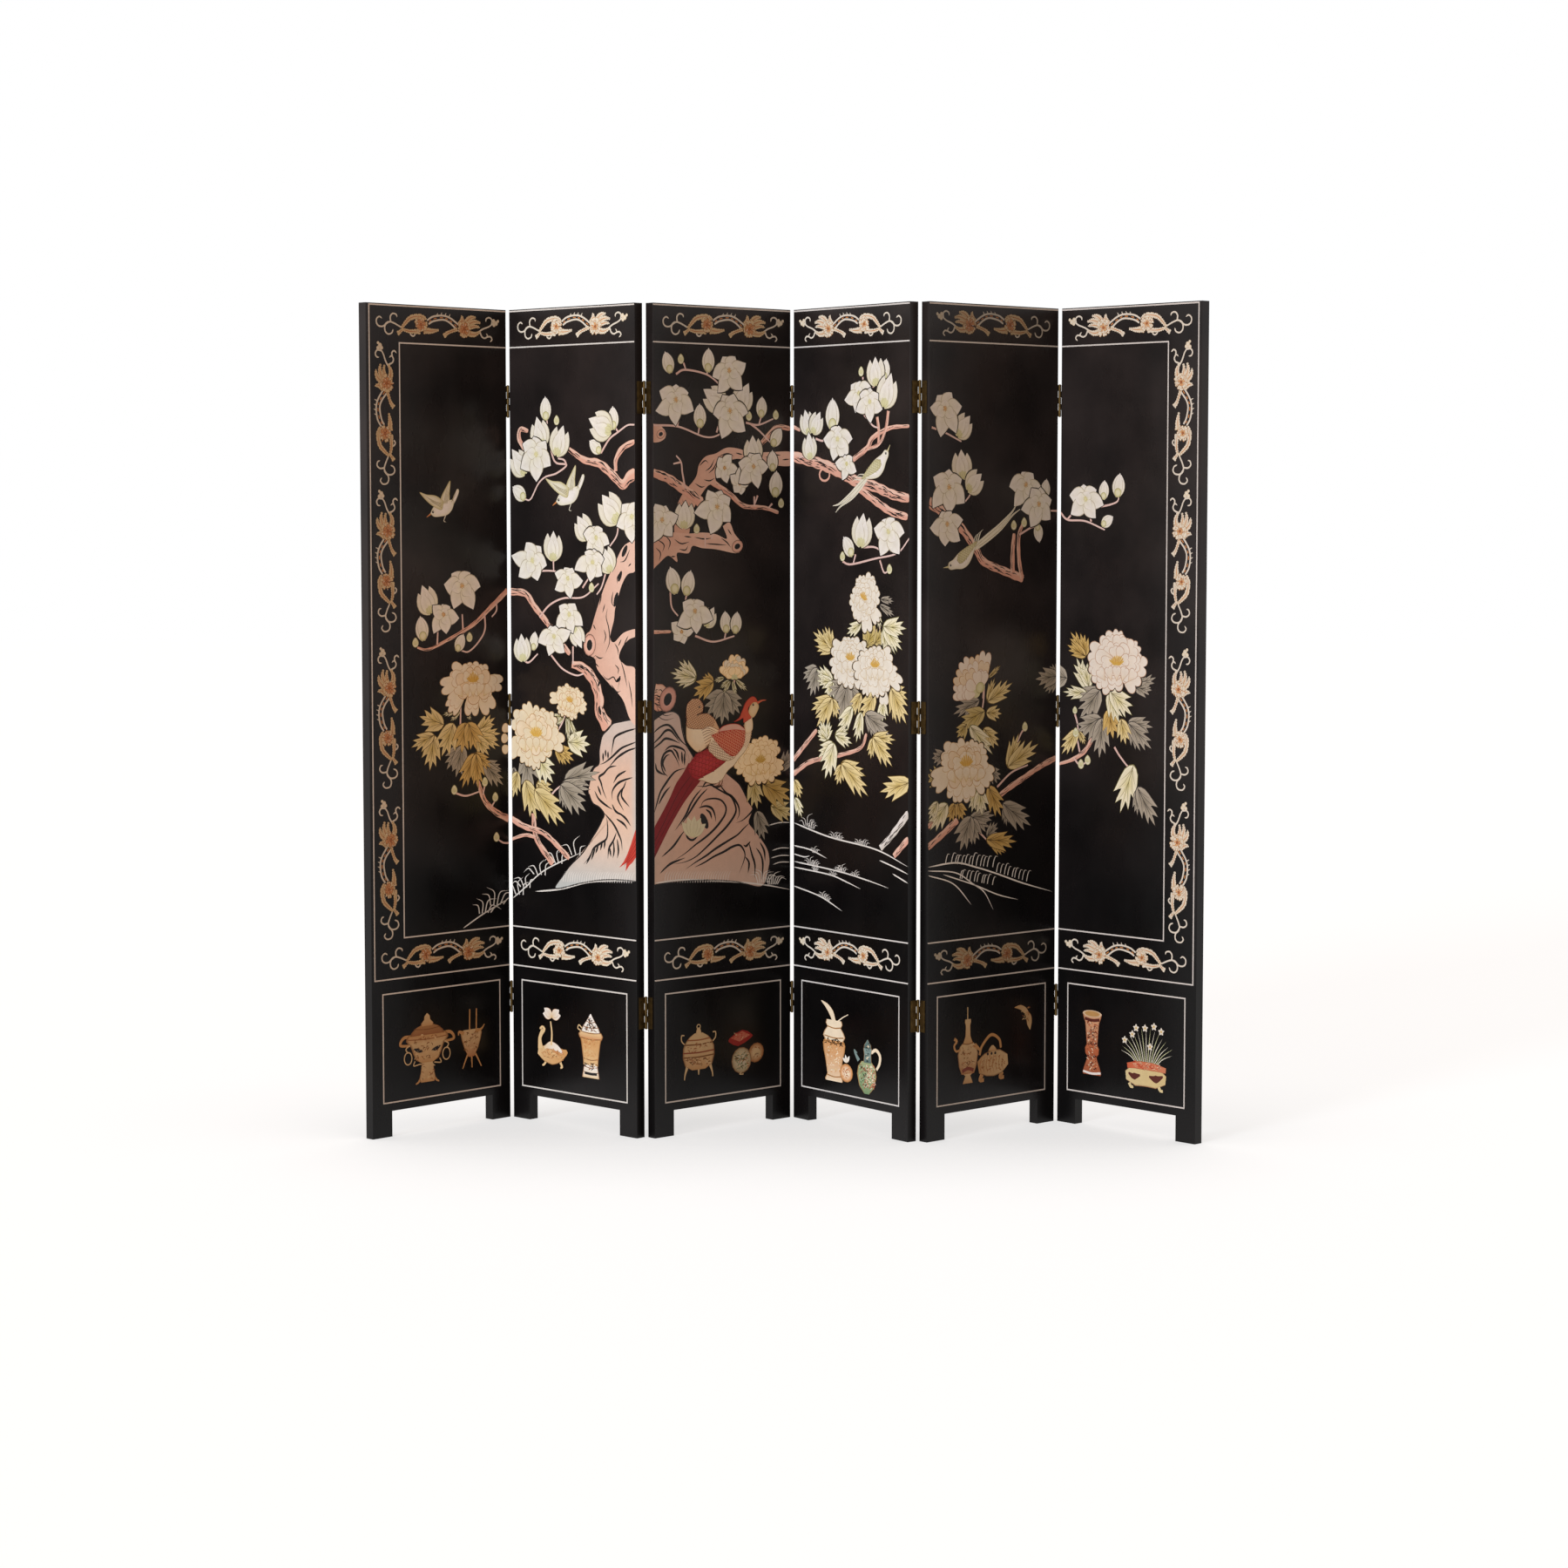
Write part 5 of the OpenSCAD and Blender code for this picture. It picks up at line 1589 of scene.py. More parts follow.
def picture_3(art):
    """Boughs of magnolia over two pheasants on the rock's right side."""
    art.use("rocks")
    rock(art, [(-6, 920), (24, 936), (48, 941), (63, 938), (75, 927), (81, 900), (90, 873), (105, 850),
               (150, 800), (210, 797), (237, 781), (255, 766), (267, 748), (279, 730), (291, 712),
               (285, 697), (280, 682), (300, 661), (330, 628), (341, 604), (340, 578), (318, 536),
               (240, 552), (150, 562), (60, 564), (-6, 562)], (140, 700),
         [
             [(-6, 893), (18, 908), (39, 912), (54, 903), (69, 885), (81, 873), (102, 858)],
             [(-6, 870), (16, 885), (33, 899), (48, 899), (63, 885), (76, 870)],
             [(-6, 859), (18, 873), (33, 882), (54, 878), (76, 869)],
             [(40, 798), (26, 810), (21, 831), (30, 849), (48, 855), (60, 843), (69, 828), (73, 818)],
             [(34, 808), (25, 828), (34, 843), (46, 847)],
             [(30, 855), (46, 864), (64, 863), (87, 854), (93, 838)], [(80, 852), (82, 824)],
             [(88, 848), (88, 820)], [(54, 860), (66, 850), (73, 830)], [(4, 830), (9, 813), (33, 801)],
             [(0, 720), (9, 744), (18, 765), (33, 783), (51, 801), (66, 810), (94, 815)],
             [(12, 738), (30, 762), (48, 777)],
             [(210, 797), (237, 781), (255, 766), (279, 730), (291, 712), (264, 691), (240, 684)],
             [(122, 773), (147, 771), (165, 773), (186, 763), (207, 753), (225, 744), (237, 726),
              (240, 711), (231, 696), (210, 676), (189, 661), (150, 634), (120, 616), (90, 607),
              (57, 604)], [(138, 766), (120, 751), (105, 733), (90, 709), (60, 678)],
             [(156, 766), (135, 751), (117, 733), (99, 712), (75, 687)],
             [(135, 722), (141, 736), (156, 742), (180, 742), (198, 736), (210, 721), (207, 705),
              (192, 688), (174, 673), (150, 658), (120, 643), (90, 626), (60, 613)],
             [(129, 724), (150, 727), (168, 721), (177, 706), (180, 690)],
             [(150, 720), (163, 711), (168, 696)],
             [(189, 775), (210, 754), (228, 744), (246, 724), (250, 704), (242, 690)],
             [(282, 682), (267, 673), (246, 658), (225, 649), (195, 637), (174, 628), (150, 616),
              (120, 604), (90, 590)],
             [(117, 593), (144, 601), (174, 613), (204, 622), (228, 631), (249, 634), (261, 625),
              (267, 610), (261, 592), (249, 570)],
             [(279, 637), (288, 610), (297, 586), (296, 556)],
             [(300, 625), (315, 607), (321, 586), (318, 550)], [(312, 637), (325, 616), (328, 592)],
             [(267, 607), (279, 592), (276, 568)], [(284, 640), (270, 630), (262, 634)],
             [(16, 586), (33, 598), (51, 607), (90, 616)], [(21, 622), (54, 643), (78, 667), (90, 678)],
             [(140, 768), (152, 780), (176, 776), (196, 782)], [(160, 780), (178, 768), (202, 770)],
         ], 560, 900, ROCK_ROSE)
    art.disc(ball(146, 694, 9, 14, 2.2, 120), (146, 694), [(1, INK), (0.5, INK)], fine=True)
    art.line([(90, 676), (97, 660), (112, 654), (130, 664)], 5, INK, (0.2, 0.3))
    hatching(art, 30, 565, 26, 7.4, -0.5)
    for lean in (-50, 50, -25, 25, 0):
        petal(art, 112, 662, 84 + lean, 46, 22, [PETAL_SHADE[0], colour("f0e6c0"), PETAL[2]])
    grounds(art, [
        (3.6, [(0, 566), (94, 567), (236, 552), (330, 538), (406, 522)]),
        (2.4, [(340, 673), (375, 677), (406, 675)]), (2.4, [(350, 615), (375, 619), (406, 617)]),
        (2.4, [(346, 598), (375, 602), (406, 600)]), (2.4, [(352, 583), (375, 587), (406, 585)]),
    ])
    tufts(art, -10, 7, [(322, 544, 40), (352, 538, 34)], 2.4)
    limbs(art, [
        ((12, 14, 10), [(300, 1516), (330, 1540), (365, 1566), (406, 1564)]),
        ((14, 12, 10, 8), [(153, 1452), (222, 1417), (264, 1391), (324, 1387), (369, 1376)]),
        ((8, 6), [(0, 1116), (50, 1116)]),
        ((60, 50), [(0, 976), (44, 966)]),
    ])
    timber(art, [(0, 1568), (23, 1563), (38, 1549), (31, 1535), (11, 1528), (-6, 1532), (-6, 1566)])
    timber(art, [(60, 1322), (62, 1370), (80, 1411), (122, 1452), (132, 1480), (152, 1499), (182, 1506),
                 (214, 1519), (251, 1517), (284, 1509), (345, 1511), (410, 1511), (410, 1483),
                 (365, 1481), (324, 1487), (284, 1491), (243, 1495), (214, 1487), (190, 1475),
                 (180, 1456), (182, 1436), (160, 1436), (128, 1402), (108, 1366), (100, 1326)])
    timber(art, [(202, 1346), (222, 1354), (236, 1330), (256, 1310), (256, 1294), (240, 1286),
                 (182, 1295), (141, 1298), (113, 1303), (101, 1287), (68, 1288), (68, 1268), (42, 1282),
                 (11, 1262), (-6, 1256), (-6, 1318), (48, 1332), (100, 1330), (145, 1332), (182, 1328),
                 (214, 1318)])
    branch(art, [(0, 1462), (40, 1451), (72, 1435), (113, 1414), (140, 1396)], (19, 22, 24))
    knot(art, 245, 1301, 14, 200)
    knot(art, 22, 1546, 10, 200)
    bark(art, [
        [(133, 1478), (150, 1490), (160, 1484)], [(150, 1466), (166, 1476), (178, 1494)],
        [(160, 1462), (176, 1474), (186, 1492)], [(146, 1448), (164, 1446), (178, 1452)],
        [(190, 1500), (216, 1506), (236, 1500)], [(240, 1508), (262, 1504)],
        [(262, 1512), (290, 1502), (312, 1504)], [(330, 1500), (352, 1498)], [(350, 1506), (376, 1504)],
        [(380, 1494), (404, 1496)], [(300, 1494), (320, 1496)], [(120, 1440), (138, 1432), (150, 1434)],
        [(100, 1426), (116, 1414), (136, 1406)], [(84, 1404), (92, 1380), (84, 1352)],
        [(104, 1398), (112, 1376), (104, 1340)], [(10, 1318), (30, 1306), (26, 1290)],
        [(34, 1326), (48, 1312), (42, 1294)], [(6, 1300), (20, 1288), (16, 1270)],
        [(60, 1318), (80, 1308), (104, 1312)], [(74, 1296), (92, 1294), (100, 1304)],
        [(118, 1322), (146, 1318), (170, 1320)], [(150, 1308), (180, 1306), (214, 1304)],
        [(196, 1320), (214, 1310), (226, 1298)], [(216, 1340), (228, 1326)], [(50, 1280), (64, 1280)],
        [(88, 1324), (110, 1322)],
    ])
    knot(art, 40, 968, 24, 60, [colour("dba08c"), colour("ecb8a4"), colour("c08070")])
    twigs(art, [
        [(66, 1677), (92, 1687), (153, 1679), (190, 1659), (202, 1642)], [(88, 1702), (94, 1688)],
        [(158, 1690), (156, 1680)], [(0, 1565), (72, 1563), (149, 1542), (190, 1547), (210, 1565)],
        [(134, 1566), (130, 1548)], [(184, 1552), (190, 1570)], [(271, 1575), (308, 1571), (353, 1585)],
        [(318, 1592), (310, 1572)], [(284, 1573), (312, 1557), (345, 1532)], [(72, 1576), (70, 1562)],
        [(296, 1412), (296, 1390)], [(306, 1414), (298, 1396)], [(340, 1434), (356, 1462)],
        [(350, 1396), (338, 1386)], [(92, 1428), (84, 1462), (80, 1486), (66, 1500)],
        [(80, 1486), (58, 1482)], [(120, 1105), (173, 1091), (236, 1102)], [(212, 1118), (206, 1094)],
        [(150, 1330), (150, 1300)], [(178, 1342), (168, 1318)], [(48, 1205), (52, 1170), (70, 1150)],
        [(96, 1200), (88, 1168)], [(236, 1004), (232, 984)],
    ])
    leaves(art, [
        ("grey", [(372, 795, 412, 838, 36), (302, 708, 326, 642, 40)]),
        ("yellow", [(345, 716, 412, 690, 44)]),
        ("ochre", [(320, 768, 404, 728, 56)]),
        ("yellow", [(290, 782, 304, 714, 44)]),
        ("grey", [(205, 980, 156, 930, 56), (210, 980, 250, 930, 48), (205, 980, 198, 908, 60)]),
        ("ochre", [(174, 1002, 142, 1014, 24), (174, 1002, 117, 973, 42)]),
        ("cream", [(123, 1012, 74, 1050, 32), (123, 1012, 64, 1004, 28), (123, 1012, 50, 1026, 32),
                   (205, 1010, 176, 1004, 11), (220, 1004, 194, 988, 11), (224, 1002, 203, 976, 11),
                   (230, 1002, 240, 970, 11), (240, 1004, 273, 980, 13)]),
    ])
    art.use("blossoms")
    buds(art, [(43, 1701, 48, 110), (160, 1709, 52, 88), (135, 1587, 52, 92), (318, 1610, 46, 86),
               (363, 1544, 48, 55), (351, 1491, 46, 92), (361, 1439, 58, 86), (56, 1227, 60, 105),
               (100, 1221, 56, 75), (210, 1133, 48, 95), (241, 1131, 48, 82)],
         [(80, 1709), (280, 1589), (361, 1593), (377, 1396), (125, 1339)])
    cups(art, [(180, 1626, 66, 150), (262, 1630, 66, 62), (292, 1516, 60, 92), (90, 1371, 62, 85),
               (162, 1144, 46, 60)])
    magnolias(art, [(223, 1679, 90, 80, 100), (60, 1612, 102, 80, 60), (225, 1589, 98, 92, 100),
                    (215, 1473, 70, 60, 170), (253, 1447, 58, 56, 260), (292, 1469, 86, 74, 80),
                    (178, 1380, 100, 88, 50), (16, 1355, 98, 72, 30), (83, 1122, 62, 60, 250),
                    (116, 1150, 104, 66, 70)])
    side_peony(art, 236, 1030, 86, 60, 90, PEONY_AMBER, PEONY)
    peony(art, 310, 818, 146, 110, 0, (0.03, 0.06), PEONY_AMBER, PEONY_AMBER)
    pheasants(art)


def picture_4(art):
    """A long-tailed bird on the last bough, white peonies, and lines of a shore."""
    grounds(art, [
        (3.4, [(0, 675), (130, 652), (294, 636), (406, 606)]), (3, [(0, 623), (60, 618), (121, 603)]),
        (3, [(0, 587), (163, 577), (260, 566), (339, 554)]),
        (3, [(0, 574), (130, 567), (190, 556), (241, 544)]), (3, [(0, 531), (98, 515), (176, 489)]),
        (3, [(307, 613), (350, 604), (406, 590)]), (3, [(352, 587), (406, 570)]),
        (2.6, [(0, 604), (40, 600), (60, 604)]),
    ])
    for x, z, size in ((52, 670, 36), (66, 666, 24), (150, 650, 24), (166, 648, 20), (251, 640, 24),
                       (236, 642, 20), (78, 612, 20), (62, 584, 24), (80, 583, 20), (176, 577, 24),
                       (164, 577, 20), (222, 570, 20), (144, 565, 18), (80, 572, 16), (108, 513, 22),
                       (122, 508, 20)):
        tuft(art, x, z, size * 0.85, 0, 5, 1.7)
    limbs(art, [
        ((24, 26, 24, 20),
         [(0, 1502), (98, 1484), (170, 1464), (222, 1445), (290, 1432), (352, 1414), (406, 1406)]),
        ((16, 18, 16), [(236, 1427), (307, 1393), (350, 1376), (400, 1366)]),
        ((12, 13, 10, 7), [(200, 1486), (261, 1517), (281, 1539), (339, 1559), (406, 1562)]),
        ((9, 7), [(296, 1584), (302, 1550), (300, 1523)]),
        ((9, 7), [(334, 1596), (326, 1560), (304, 1526), (262, 1514)]),
        ((8, 8), [(0, 1568), (24, 1560)]),
        ((12, 10, 8), [(0, 786), (65, 818), (170, 838), (241, 858), (261, 890)]),
        ((12, 10), [(0, 818), (85, 890)]),
        ((13, 15), [(356, 626), (406, 668)]),
    ])
    art.use("branches")
    branch(art, [(310, 640), (350, 672), (406, 724)], (14, 18),
           [colour("e6dccb"), colour("f4ecdf"), colour("c8bba4")])
    ring(art, 112, 1460, 18, BARK[0], 5, 0.75)
    twigs(art, [
        [(176, 1268), (206, 1262), (287, 1275), (365, 1288), (406, 1320)], [(222, 1284), (214, 1264)],
        [(250, 1300), (290, 1300), (322, 1286)], [(306, 1272), (320, 1246), (334, 1248)],
        [(80, 1540), (110, 1536), (140, 1558)], [(246, 1672), (248, 1655)], [(282, 1648), (284, 1664)],
        [(250, 1590), (280, 1566), (300, 1560)], [(20, 1500), (50, 1502)], [(18, 832), (26, 846)],
        [(290, 1120), (300, 1096)], [(306, 1128), (310, 1100)],
    ])
    leaves(art, [
        ("grey", [(308, 1187, 354, 1183, 18), (305, 1175, 356, 1152, 20)]),
        ("cream", [(297, 1163, 307, 1121, 17), (295, 1160, 286, 1136, 11), (242, 1132, 193, 1108, 28)]),
        ("olive", [(262, 1080, 290, 1130, 66), (288, 1088, 320, 1118, 36)]),
        ("cream", [(317, 1124, 358, 1070, 26), (318, 1122, 328, 1071, 24), (317, 1126, 380, 1080, 38),
                   (317, 1128, 394, 1125, 38)]),
        ("yellow", [(141, 1070, 80, 1077, 28), (143, 1072, 74, 1108, 40), (143, 1072, 115, 1121, 32)]),
        ("grey", [(86, 1032, 36, 1002, 34), (88, 1030, 62, 966, 42)]),
        ("cream", [(143, 1004, 85, 1024, 32), (143, 1000, 86, 1000, 28), (143, 1000, 121, 964, 34)]),
        ("grey", [(193, 1002, 130, 970, 46), (200, 998, 228, 948, 42), (196, 1002, 166, 916, 62)]),
        ("yellow", [(142, 962, 157, 920, 32), (137, 964, 67, 934, 40), (140, 964, 87, 900, 48),
                    (242, 978, 207, 931, 34), (290, 980, 245, 924, 46), (345, 992, 364, 920, 32),
                    (345, 994, 400, 972, 34), (345, 994, 395, 921, 48)]),
        ("cream", [(318, 964, 316, 920, 32), (212, 948, 166, 887, 36), (242, 938, 226, 871, 32)]),
        ("grey", [(258, 934, 290, 884, 28), (256, 934, 338, 892, 46)]),
        ("cream", [(118, 868, 132, 910, 26), (118, 868, 98, 910, 28), (122, 870, 88, 886, 26),
                   (150, 880, 198, 898, 22), (150, 882, 209, 866, 32), (145, 864, 92, 829, 34),
                   (147, 864, 116, 785, 54)]),
        ("yellow", [(172, 817, 158, 772, 34), (172, 820, 255, 797, 36), (172, 820, 263, 755, 46),
                    (283, 882, 276, 836, 26), (283, 884, 359, 881, 28), (283, 884, 347, 825, 46),
                    (414, 792, 312, 765, 46), (3, 773, 26, 733, 30)]),
        ("cream", [(6, 733, 30, 690, 28)]),
    ])
    art.use("blossoms")
    buds(art, [(140, 1592, 70, 90), (196, 1301, 52, 128), (323, 1685, 46, 80)],
         [(240, 1683), (176, 1278), (339, 1252)])
    cups(art, [(290, 1682, 64, 92), (330, 1638, 74, 70), (49, 1576, 54, 105), (82, 1574, 52, 60),
               (58, 1522, 56, 95), (244, 1336, 74, 82)])
    magnolias(art, [(236, 1628, 96, 64, 110), (266, 1610, 84, 66, 60), (160, 1528, 98, 72, 100),
                    (189, 1476, 72, 50, 80), (336, 1324, 100, 78, 95)])
    peony(art, 257, 1178, 100, 124, -28, (-0.06, 0.12), PEONY_WHITE, PEONY_WHITE)
    peony(art, 198, 1045, 148, 114, 0, (0.04, 0.12), PEONY_WHITE, PEONY_WHITE)
    frill(art, 320, 1004, 272, 50, 38, PEONY_WHITE, 2)
    peony(art, 300, 1024, 158, 112, 0, (-0.06, 0.2), PEONY_WHITE, PEONY_WHITE)
    art.use("birds")
    long_tail(art, (326, 1513), (287, 1471), (144, 1388), 62, -1)


def picture_5(art):
    """A long-tailed bird on a bough, and peonies over grass."""
    grounds(art, [
        (3.4, [(0, 606), (86, 610), (150, 596), (216, 577), (300, 550), (396, 524)]),
        (2.6, [(0, 598), (86, 588), (140, 560), (177, 538), (205, 498)]),
        (2.6, [(0, 588), (79, 564), (136, 514)]), (2.6, [(47, 587), (145, 557), (220, 530), (285, 514)]),
    ])
    sprouts(art, 52, 206, 612, 592, 13, 26)
    sprouts(art, 92, 206, 576, 552, 10, 22)
    sprouts(art, 212, 316, 582, 552, 9, 26)
    limbs(art, [
        ((24, 22, 18, 18, 20),
         [(0, 1399), (60, 1368), (105, 1338), (145, 1297), (171, 1268), (242, 1245), (296, 1230)]),
        ((12, 9), [(292, 1230), (282, 1275), (282, 1327), (301, 1360)]),
        ((14, 10), [(262, 1243), (262, 1290), (266, 1330)]),
        ((10, 14, 12, 14), [(205, 740), (250, 764), (301, 786), (352, 808), (406, 826)]),
        ((14, 16), [(0, 649), (40, 672), (92, 704)]),
        ((11, 10), [(0, 694), (30, 712)]),
    ])
    twigs(art, [
        [(8, 1559), (47, 1549), (99, 1530)], [(216, 770), (262, 800), (314, 814)],
        [(282, 1327), (330, 1344), (334, 1318)], [(406, 1380), (380, 1380)],
        [(120, 1460), (128, 1420), (112, 1400)], [(170, 968), (172, 996)],
        [(303, 896), (292, 886), (280, 866)], [(173, 994), (172, 968), (167, 940)],
        [(160, 673), (185, 653)],
    ])
    leaves(art, [
        ("grey", [(414, 1010, 383, 1033, 26), (414, 1006, 369, 976, 30), (414, 1010, 339, 1005, 40),
                  (160, 965, 79, 937, 36)]),
        ("yellow", [(187, 1013, 224, 1038, 12), (183, 962, 206, 1011, 20), (184, 960, 260, 998, 38)]),
        ("olive", [(176, 940, 100, 912, 50)]),
        ("yellow", [(180, 936, 228, 932, 30)]),
        ("olive", [(118, 912, 90, 886, 34)]),
        ("yellow", [(172, 902, 218, 862, 38)]),
        ("cream", [(128, 910, 198, 846, 38)]),
        ("grey", [(50, 848, 12, 843, 34)]),
        ("olive", [(46, 794, -4, 808, 42)]),
        ("grey", [(186, 812, 226, 786, 34)]),
        ("yellow", [(248, 813, 283, 883, 36), (248, 812, 344, 858, 44)]),
        ("grey", [(134, 708, 192, 682, 40), (128, 706, 208, 708, 34), (140, 706, 146, 648, 44),
                  (135, 710, 101, 638, 54), (238, 730, 247, 681, 24), (233, 733, 322, 679, 52)]),
        ("ochre", [(187, 774, 228, 706, 46), (84, 742, 66, 702, 34), (92, 742, 108, 704, 34)]),
        ("cream", [(60, 742, 9, 689, 44), (30, 748, 4, 712, 30), (150, 770, 136, 720, 34),
                   (160, 768, 168, 712, 44)]),
        ("grey", [(183, 661, 217, 690, 27)]),
        ("ochre", [(196, 648, 240, 622, 24), (181, 655, 276, 645, 40)]),
    ])
    art.use("blossoms")
    buds(art, [(366, 1428, 44, 80), (344, 1331, 42, 280)], [(265, 1347), (298, 1353), (304, 899)])
    cups(art, [(105, 1562, 58, 50), (101, 1480, 66, 95), (140, 1442, 58, 40)])
    magnolias(art, [(50, 1590, 88, 86, 100), (56, 1421, 106, 84, 60), (58, 1341, 98, 70, 100),
                    (301, 1427, 104, 76, 80), (337, 1388, 92, 84, 40)])
    side_peony(art, 135, 1014, 98, 108, 128, PEONY_ROSE, PEONY_INNER)
    spot(art, 160, 992, 12, CALYX, 1.15, 40)
    peony(art, 107, 806, 180, 144, 0, (0.06, 0.18), PEONY, PEONY_INNER)
    art.use("birds")
    long_tail(art, (70, 1262), (112, 1282), (282, 1388), 60, 1)


def picture_6(art):
    """A sprig of magnolia, and a peony among its leaves."""
    limbs(art, [((6, 9, 11, 10), [(0, 812), (40, 824), (76, 844), (104, 880)])])
    twigs(art, [
        [(0, 1376), (22, 1360), (74, 1357), (132, 1338)], [(22, 1362), (40, 1378)],
        [(92, 1356), (86, 1372)], [(118, 1389), (150, 1394), (170, 1402), (172, 1420)],
        [(44, 828), (64, 812), (84, 822)], [(62, 842), (52, 880)],
        [(165, 858), (180, 840), (206, 816), (234, 800)], [(47, 926), (54, 908), (57, 892)],
    ])
    leaves(art, [
        ("grey", [(222, 994, 283, 1016, 32), (222, 992, 272, 988, 30)]),
        ("ochre", [(81, 1057, 34, 1108, 36), (81, 1057, 62, 1106, 32), (80, 1056, 24, 1080, 30)]),
        ("cream", [(86, 984, 52, 1050, 42), (90, 986, 72, 1040, 36), (84, 974, 13, 975, 30)]),
        ("grey", [(24, 1006, -26, 1010, 48), (122, 982, 62, 956, 44), (122, 984, 64, 920, 56),
                  (126, 922, 52, 886, 48), (128, 922, 121, 834, 50)]),
        ("yellow", [(57, 892, 10, 837, 36), (60, 888, 78, 860, 18)]),
        ("grey", [(204, 916, 275, 907, 36), (204, 914, 240, 854, 34), (204, 914, 271, 861, 44)]),
        ("ochre", [(147, 942, 161, 879, 50)]),
        ("yellow", [(184, 922, 198, 867, 38)]),
        ("cream", [(146, 978, 178, 914, 42), (150, 982, 213, 933, 46), (222, 822, 185, 718, 58)]),
        ("grey", [(230, 766, 234, 711, 26), (232, 774, 284, 693, 46)]),
    ])
    art.use("blossoms")
    buds(art, [(129, 1425, 42, 85), (172, 1435, 52, 82), (139, 1357, 38, 30)],
         [(50, 884), (66, 814), (86, 824)])
    magnolias(art, [(73, 1396, 94, 76, 80)])
    knob(art, 47, 934, 7)
    peony(art, 167, 1046, 184, 139, 0, (0.02, 0.03), PEONY_ROSE, PEONY_ROSE)


PICTURES = [picture_1, picture_2, picture_3, picture_4, picture_5, picture_6]
ANTIQUES = [antiques_1, antiques_2, antiques_3, antiques_4, antiques_5, antiques_6]
SLOTS = {
    "lines": "cream_paint", "scrolls": "cream_paint", "ground": "cream_paint", "rocks": "pink_paint",
    "branches": "pink_paint", "foliage": "leaf_paint", "blossoms": "cream_paint", "birds": "red_paint",
    "antiques": "red_paint",
}


def paint_leaves():
    """All the paint, leaf by leaf."""
    for number in LEAVES:
        art = Canvas(number)
        groove_lines(art)
        borders(art)
        PICTURES[number - 1](art)
        art.use("antiques")
        ANTIQUES[number - 1](art)
        art.build(SLOTS)


# Stage


def camera_only(nodes, links, plain, shown, share):
    """A shader that the camera, gloss and glass see as shown, by a share, and light as plain."""
    rays = nodes.new("ShaderNodeLightPath")
    seen = rays.outputs["Is Camera Ray"]
    for name in ("Is Glossy Ray", "Is Transmission Ray"):
        larger = nodes.new("ShaderNodeMath")
        larger.operation = "MAXIMUM"
        links.new(seen, larger.inputs[0])
        links.new(rays.outputs[name], larger.inputs[1])
        seen = larger.outputs[0]
    scaled = nodes.new("ShaderNodeMath")
    scaled.operation = "MULTIPLY"
    scaled.inputs[1].default_value = share
    links.new(seen, scaled.inputs[0])
    mix = nodes.new("ShaderNodeMixShader")
    links.new(scaled.outputs[0], mix.inputs[0])
    links.new(plain, mix.inputs[1])
    links.new(shown, mix.inputs[2])
    return mix.outputs[0]


def floor():
    """A wide pale floor under the screen, which the camera sees as nearly white, greyed near the screen by
    a painted shadow.
    """
    mesh = bpy.data.meshes.new("floor")
    corners = [(x * FLOOR_SIZE, y * FLOOR_SIZE, cad_low.z) for x, y in ((-1, -1), (1, -1), (1, 1), (-1, 1))]
    mesh.from_pydata(corners, [], [(0, 1, 2, 3)])
    made, nodes, links, shader = new_material("floor")
    shader.inputs["Base Color"].default_value = (*FLOOR_COLOUR, 1)
    shader.inputs["Roughness"].default_value = FLOOR_ROUGHNESS
    near = nodes.new("ShaderNodeAmbientOcclusion")
    near.inputs["Distance"].default_value = SHADOW_REACH
    white = nodes.new("ShaderNodeEmission")
    white.inputs["Strength"].default_value = FLOOR_WHITE
    links.new(ramp(nodes, links, near.outputs["AO"], *SHADOW_TONES), white.inputs["Color"])
    seen = camera_only(nodes, links, shader.outputs[0], white.outputs[0], FLOOR_SHARE)
    links.new(seen, nodes["Material Output"].inputs["Surface"])
    mesh.materials.append(made)
    obj = bpy.data.objects.new("floor", mesh)
    bpy.context.scene.collection.objects.link(obj)


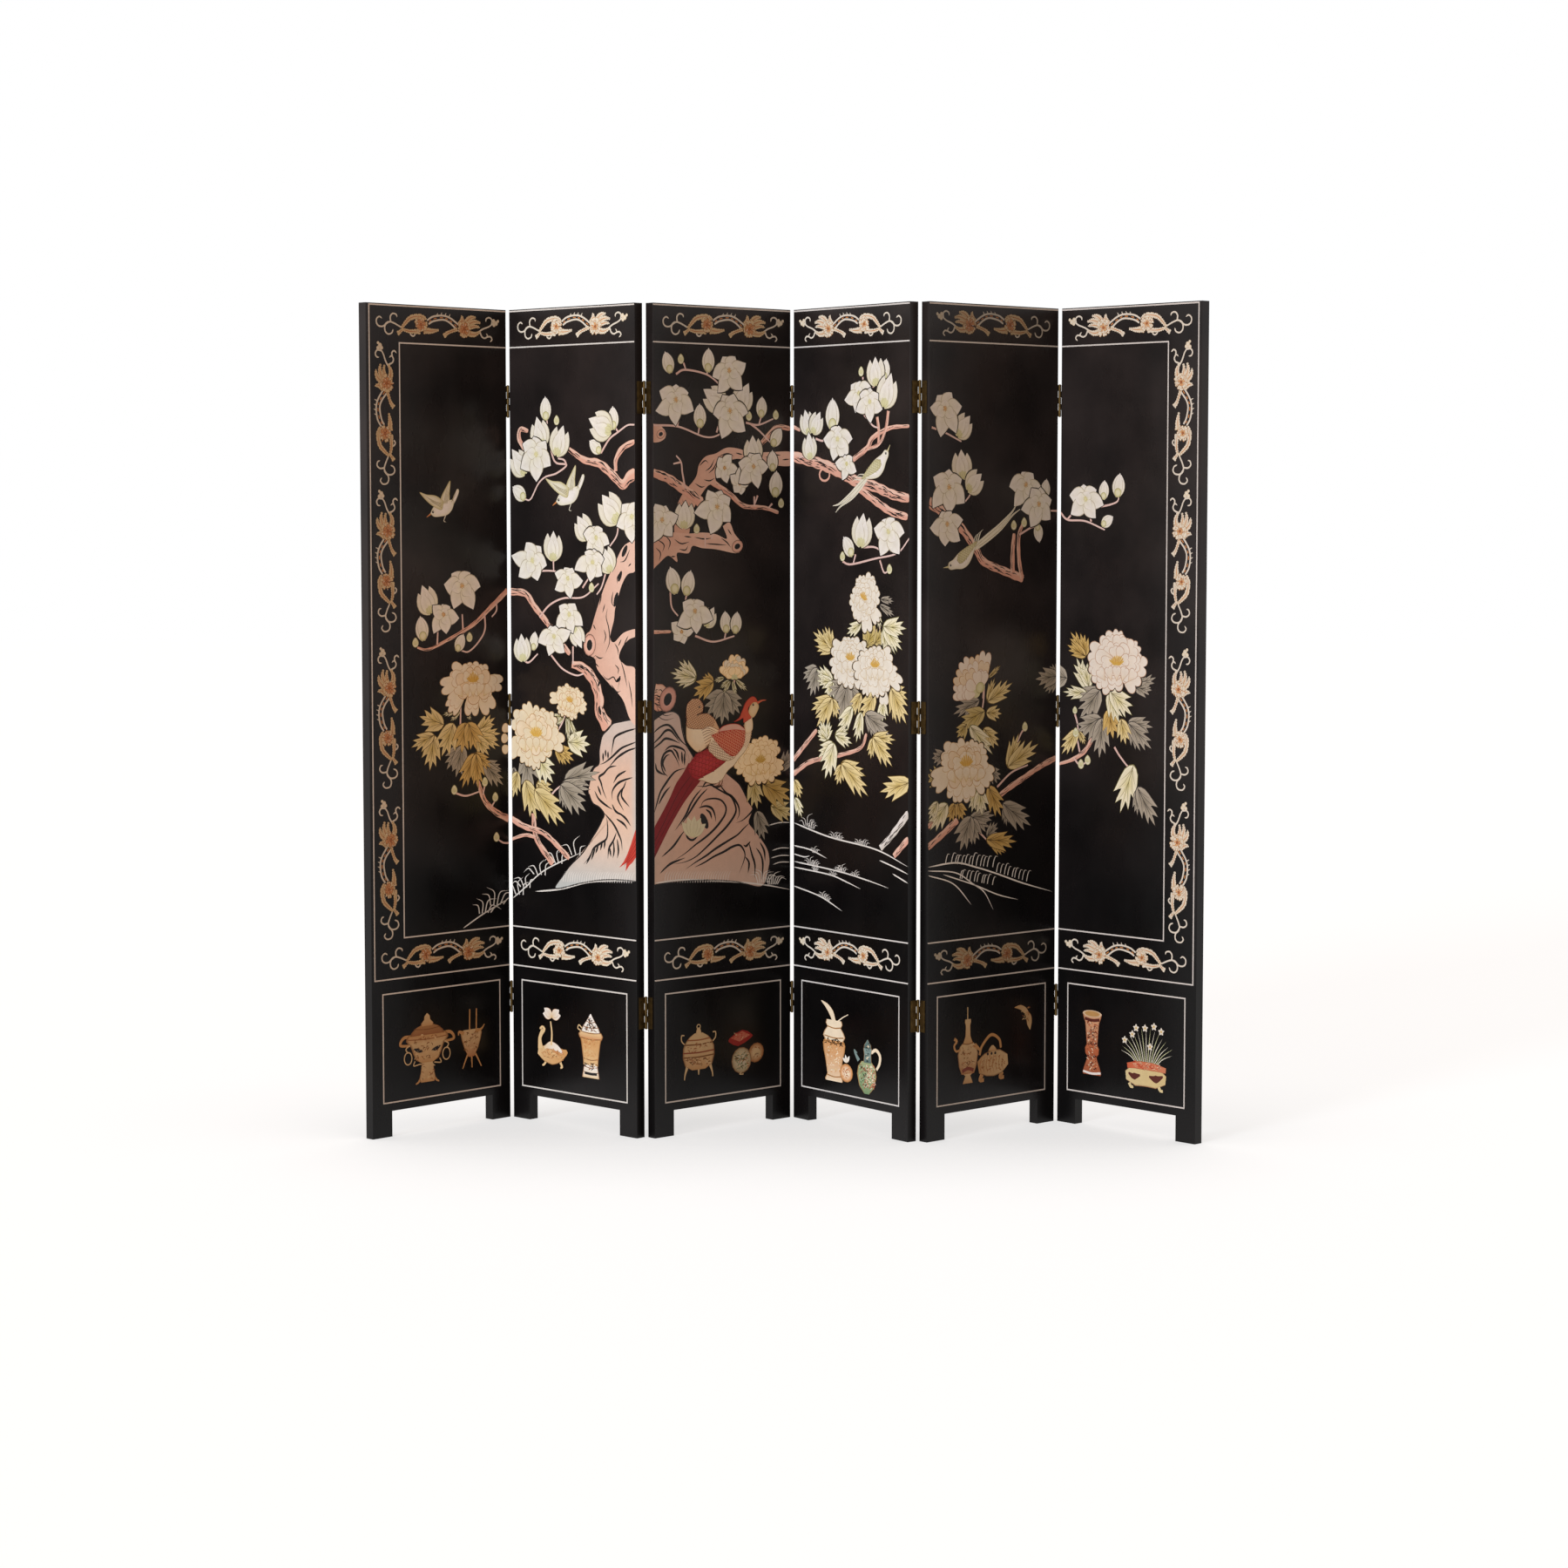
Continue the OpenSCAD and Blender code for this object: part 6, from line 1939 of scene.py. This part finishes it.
def world():
    """Warm fill from all round, in front of a background that the camera sees as white."""
    made = bpy.data.worlds.new("studio")
    made.use_nodes = True
    nodes, links = made.node_tree.nodes, made.node_tree.links
    fill = nodes["Background"]
    fill.inputs["Color"].default_value = (*FILL_COLOUR, 1)
    fill.inputs["Strength"].default_value = FILL
    white = nodes.new("ShaderNodeBackground")
    white.inputs["Color"].default_value = (1, 1, 1, 1)
    seen = camera_only(nodes, links, fill.outputs[0], white.outputs[0], 1)
    links.new(seen, nodes["World Output"].inputs["Surface"])
    bpy.context.scene.world = made


def key_light():
    """A broad soft light from the front left, so that the leaves that face it are the bright ones."""
    data = bpy.data.lights.new("key", "SUN")
    data.energy = KEY
    data.color = KEY_COLOUR
    data.angle = math.radians(KEY_SPREAD)
    obj = bpy.data.objects.new("key", data)
    obj.rotation_euler = Vector(KEY_WAY).to_track_quat("-Z", "Y").to_euler()
    bpy.context.scene.collection.objects.link(obj)


def camera():
    """The camera at the photograph's viewing angle."""
    data = bpy.data.cameras.new("camera")
    data.lens = LENS
    data.sensor_width = SENSOR_WIDTH
    data.clip_end = FARTHEST
    obj = bpy.data.objects.new("camera", data)
    obj.location = CAMERA_PLACE
    obj.rotation_euler = (math.radians(90 - CAMERA_TILT), 0, 0)
    bpy.context.scene.collection.objects.link(obj)
    bpy.context.scene.camera = obj


# The photograph's viewing angle, with the whole screen in a square frame
CAMERA_PLACE = (0.0036, -7.6786, 1.3715)
CAMERA_TILT = 4.44
LENS = 79.66
SENSOR_WIDTH = 36
FARTHEST = 100

# The floor's reach to each side and its finish; the camera sees it as a white, by this share
FLOOR_SIZE = 30
FLOOR_COLOUR = (0.82, 0.81, 0.8)
FLOOR_ROUGHNESS = 0.9
FLOOR_SHARE = 0.68
FLOOR_WHITE = 1.27

# Within this reach of the screen the white turns grey, a painted shadow: the ramp's two stops and their
# greys
SHADOW_REACH = 0.9
SHADOW_TONES = (0.5, 0.97, (0.78, 1.0))

# Soft warm fill from all round, and a cooler key light
FILL = 0.46
FILL_COLOUR = (1.0, 0.74, 0.56)
KEY = 2.25
KEY_COLOUR = (0.83, 0.9, 1.0)
KEY_WAY = (0.6, 0.75, -0.25)
KEY_SPREAD = 14

bpy.context.scene.view_settings.view_transform = "Standard"
camera()
world()
key_light()
floor()
dress_frame()
paint_leaves()
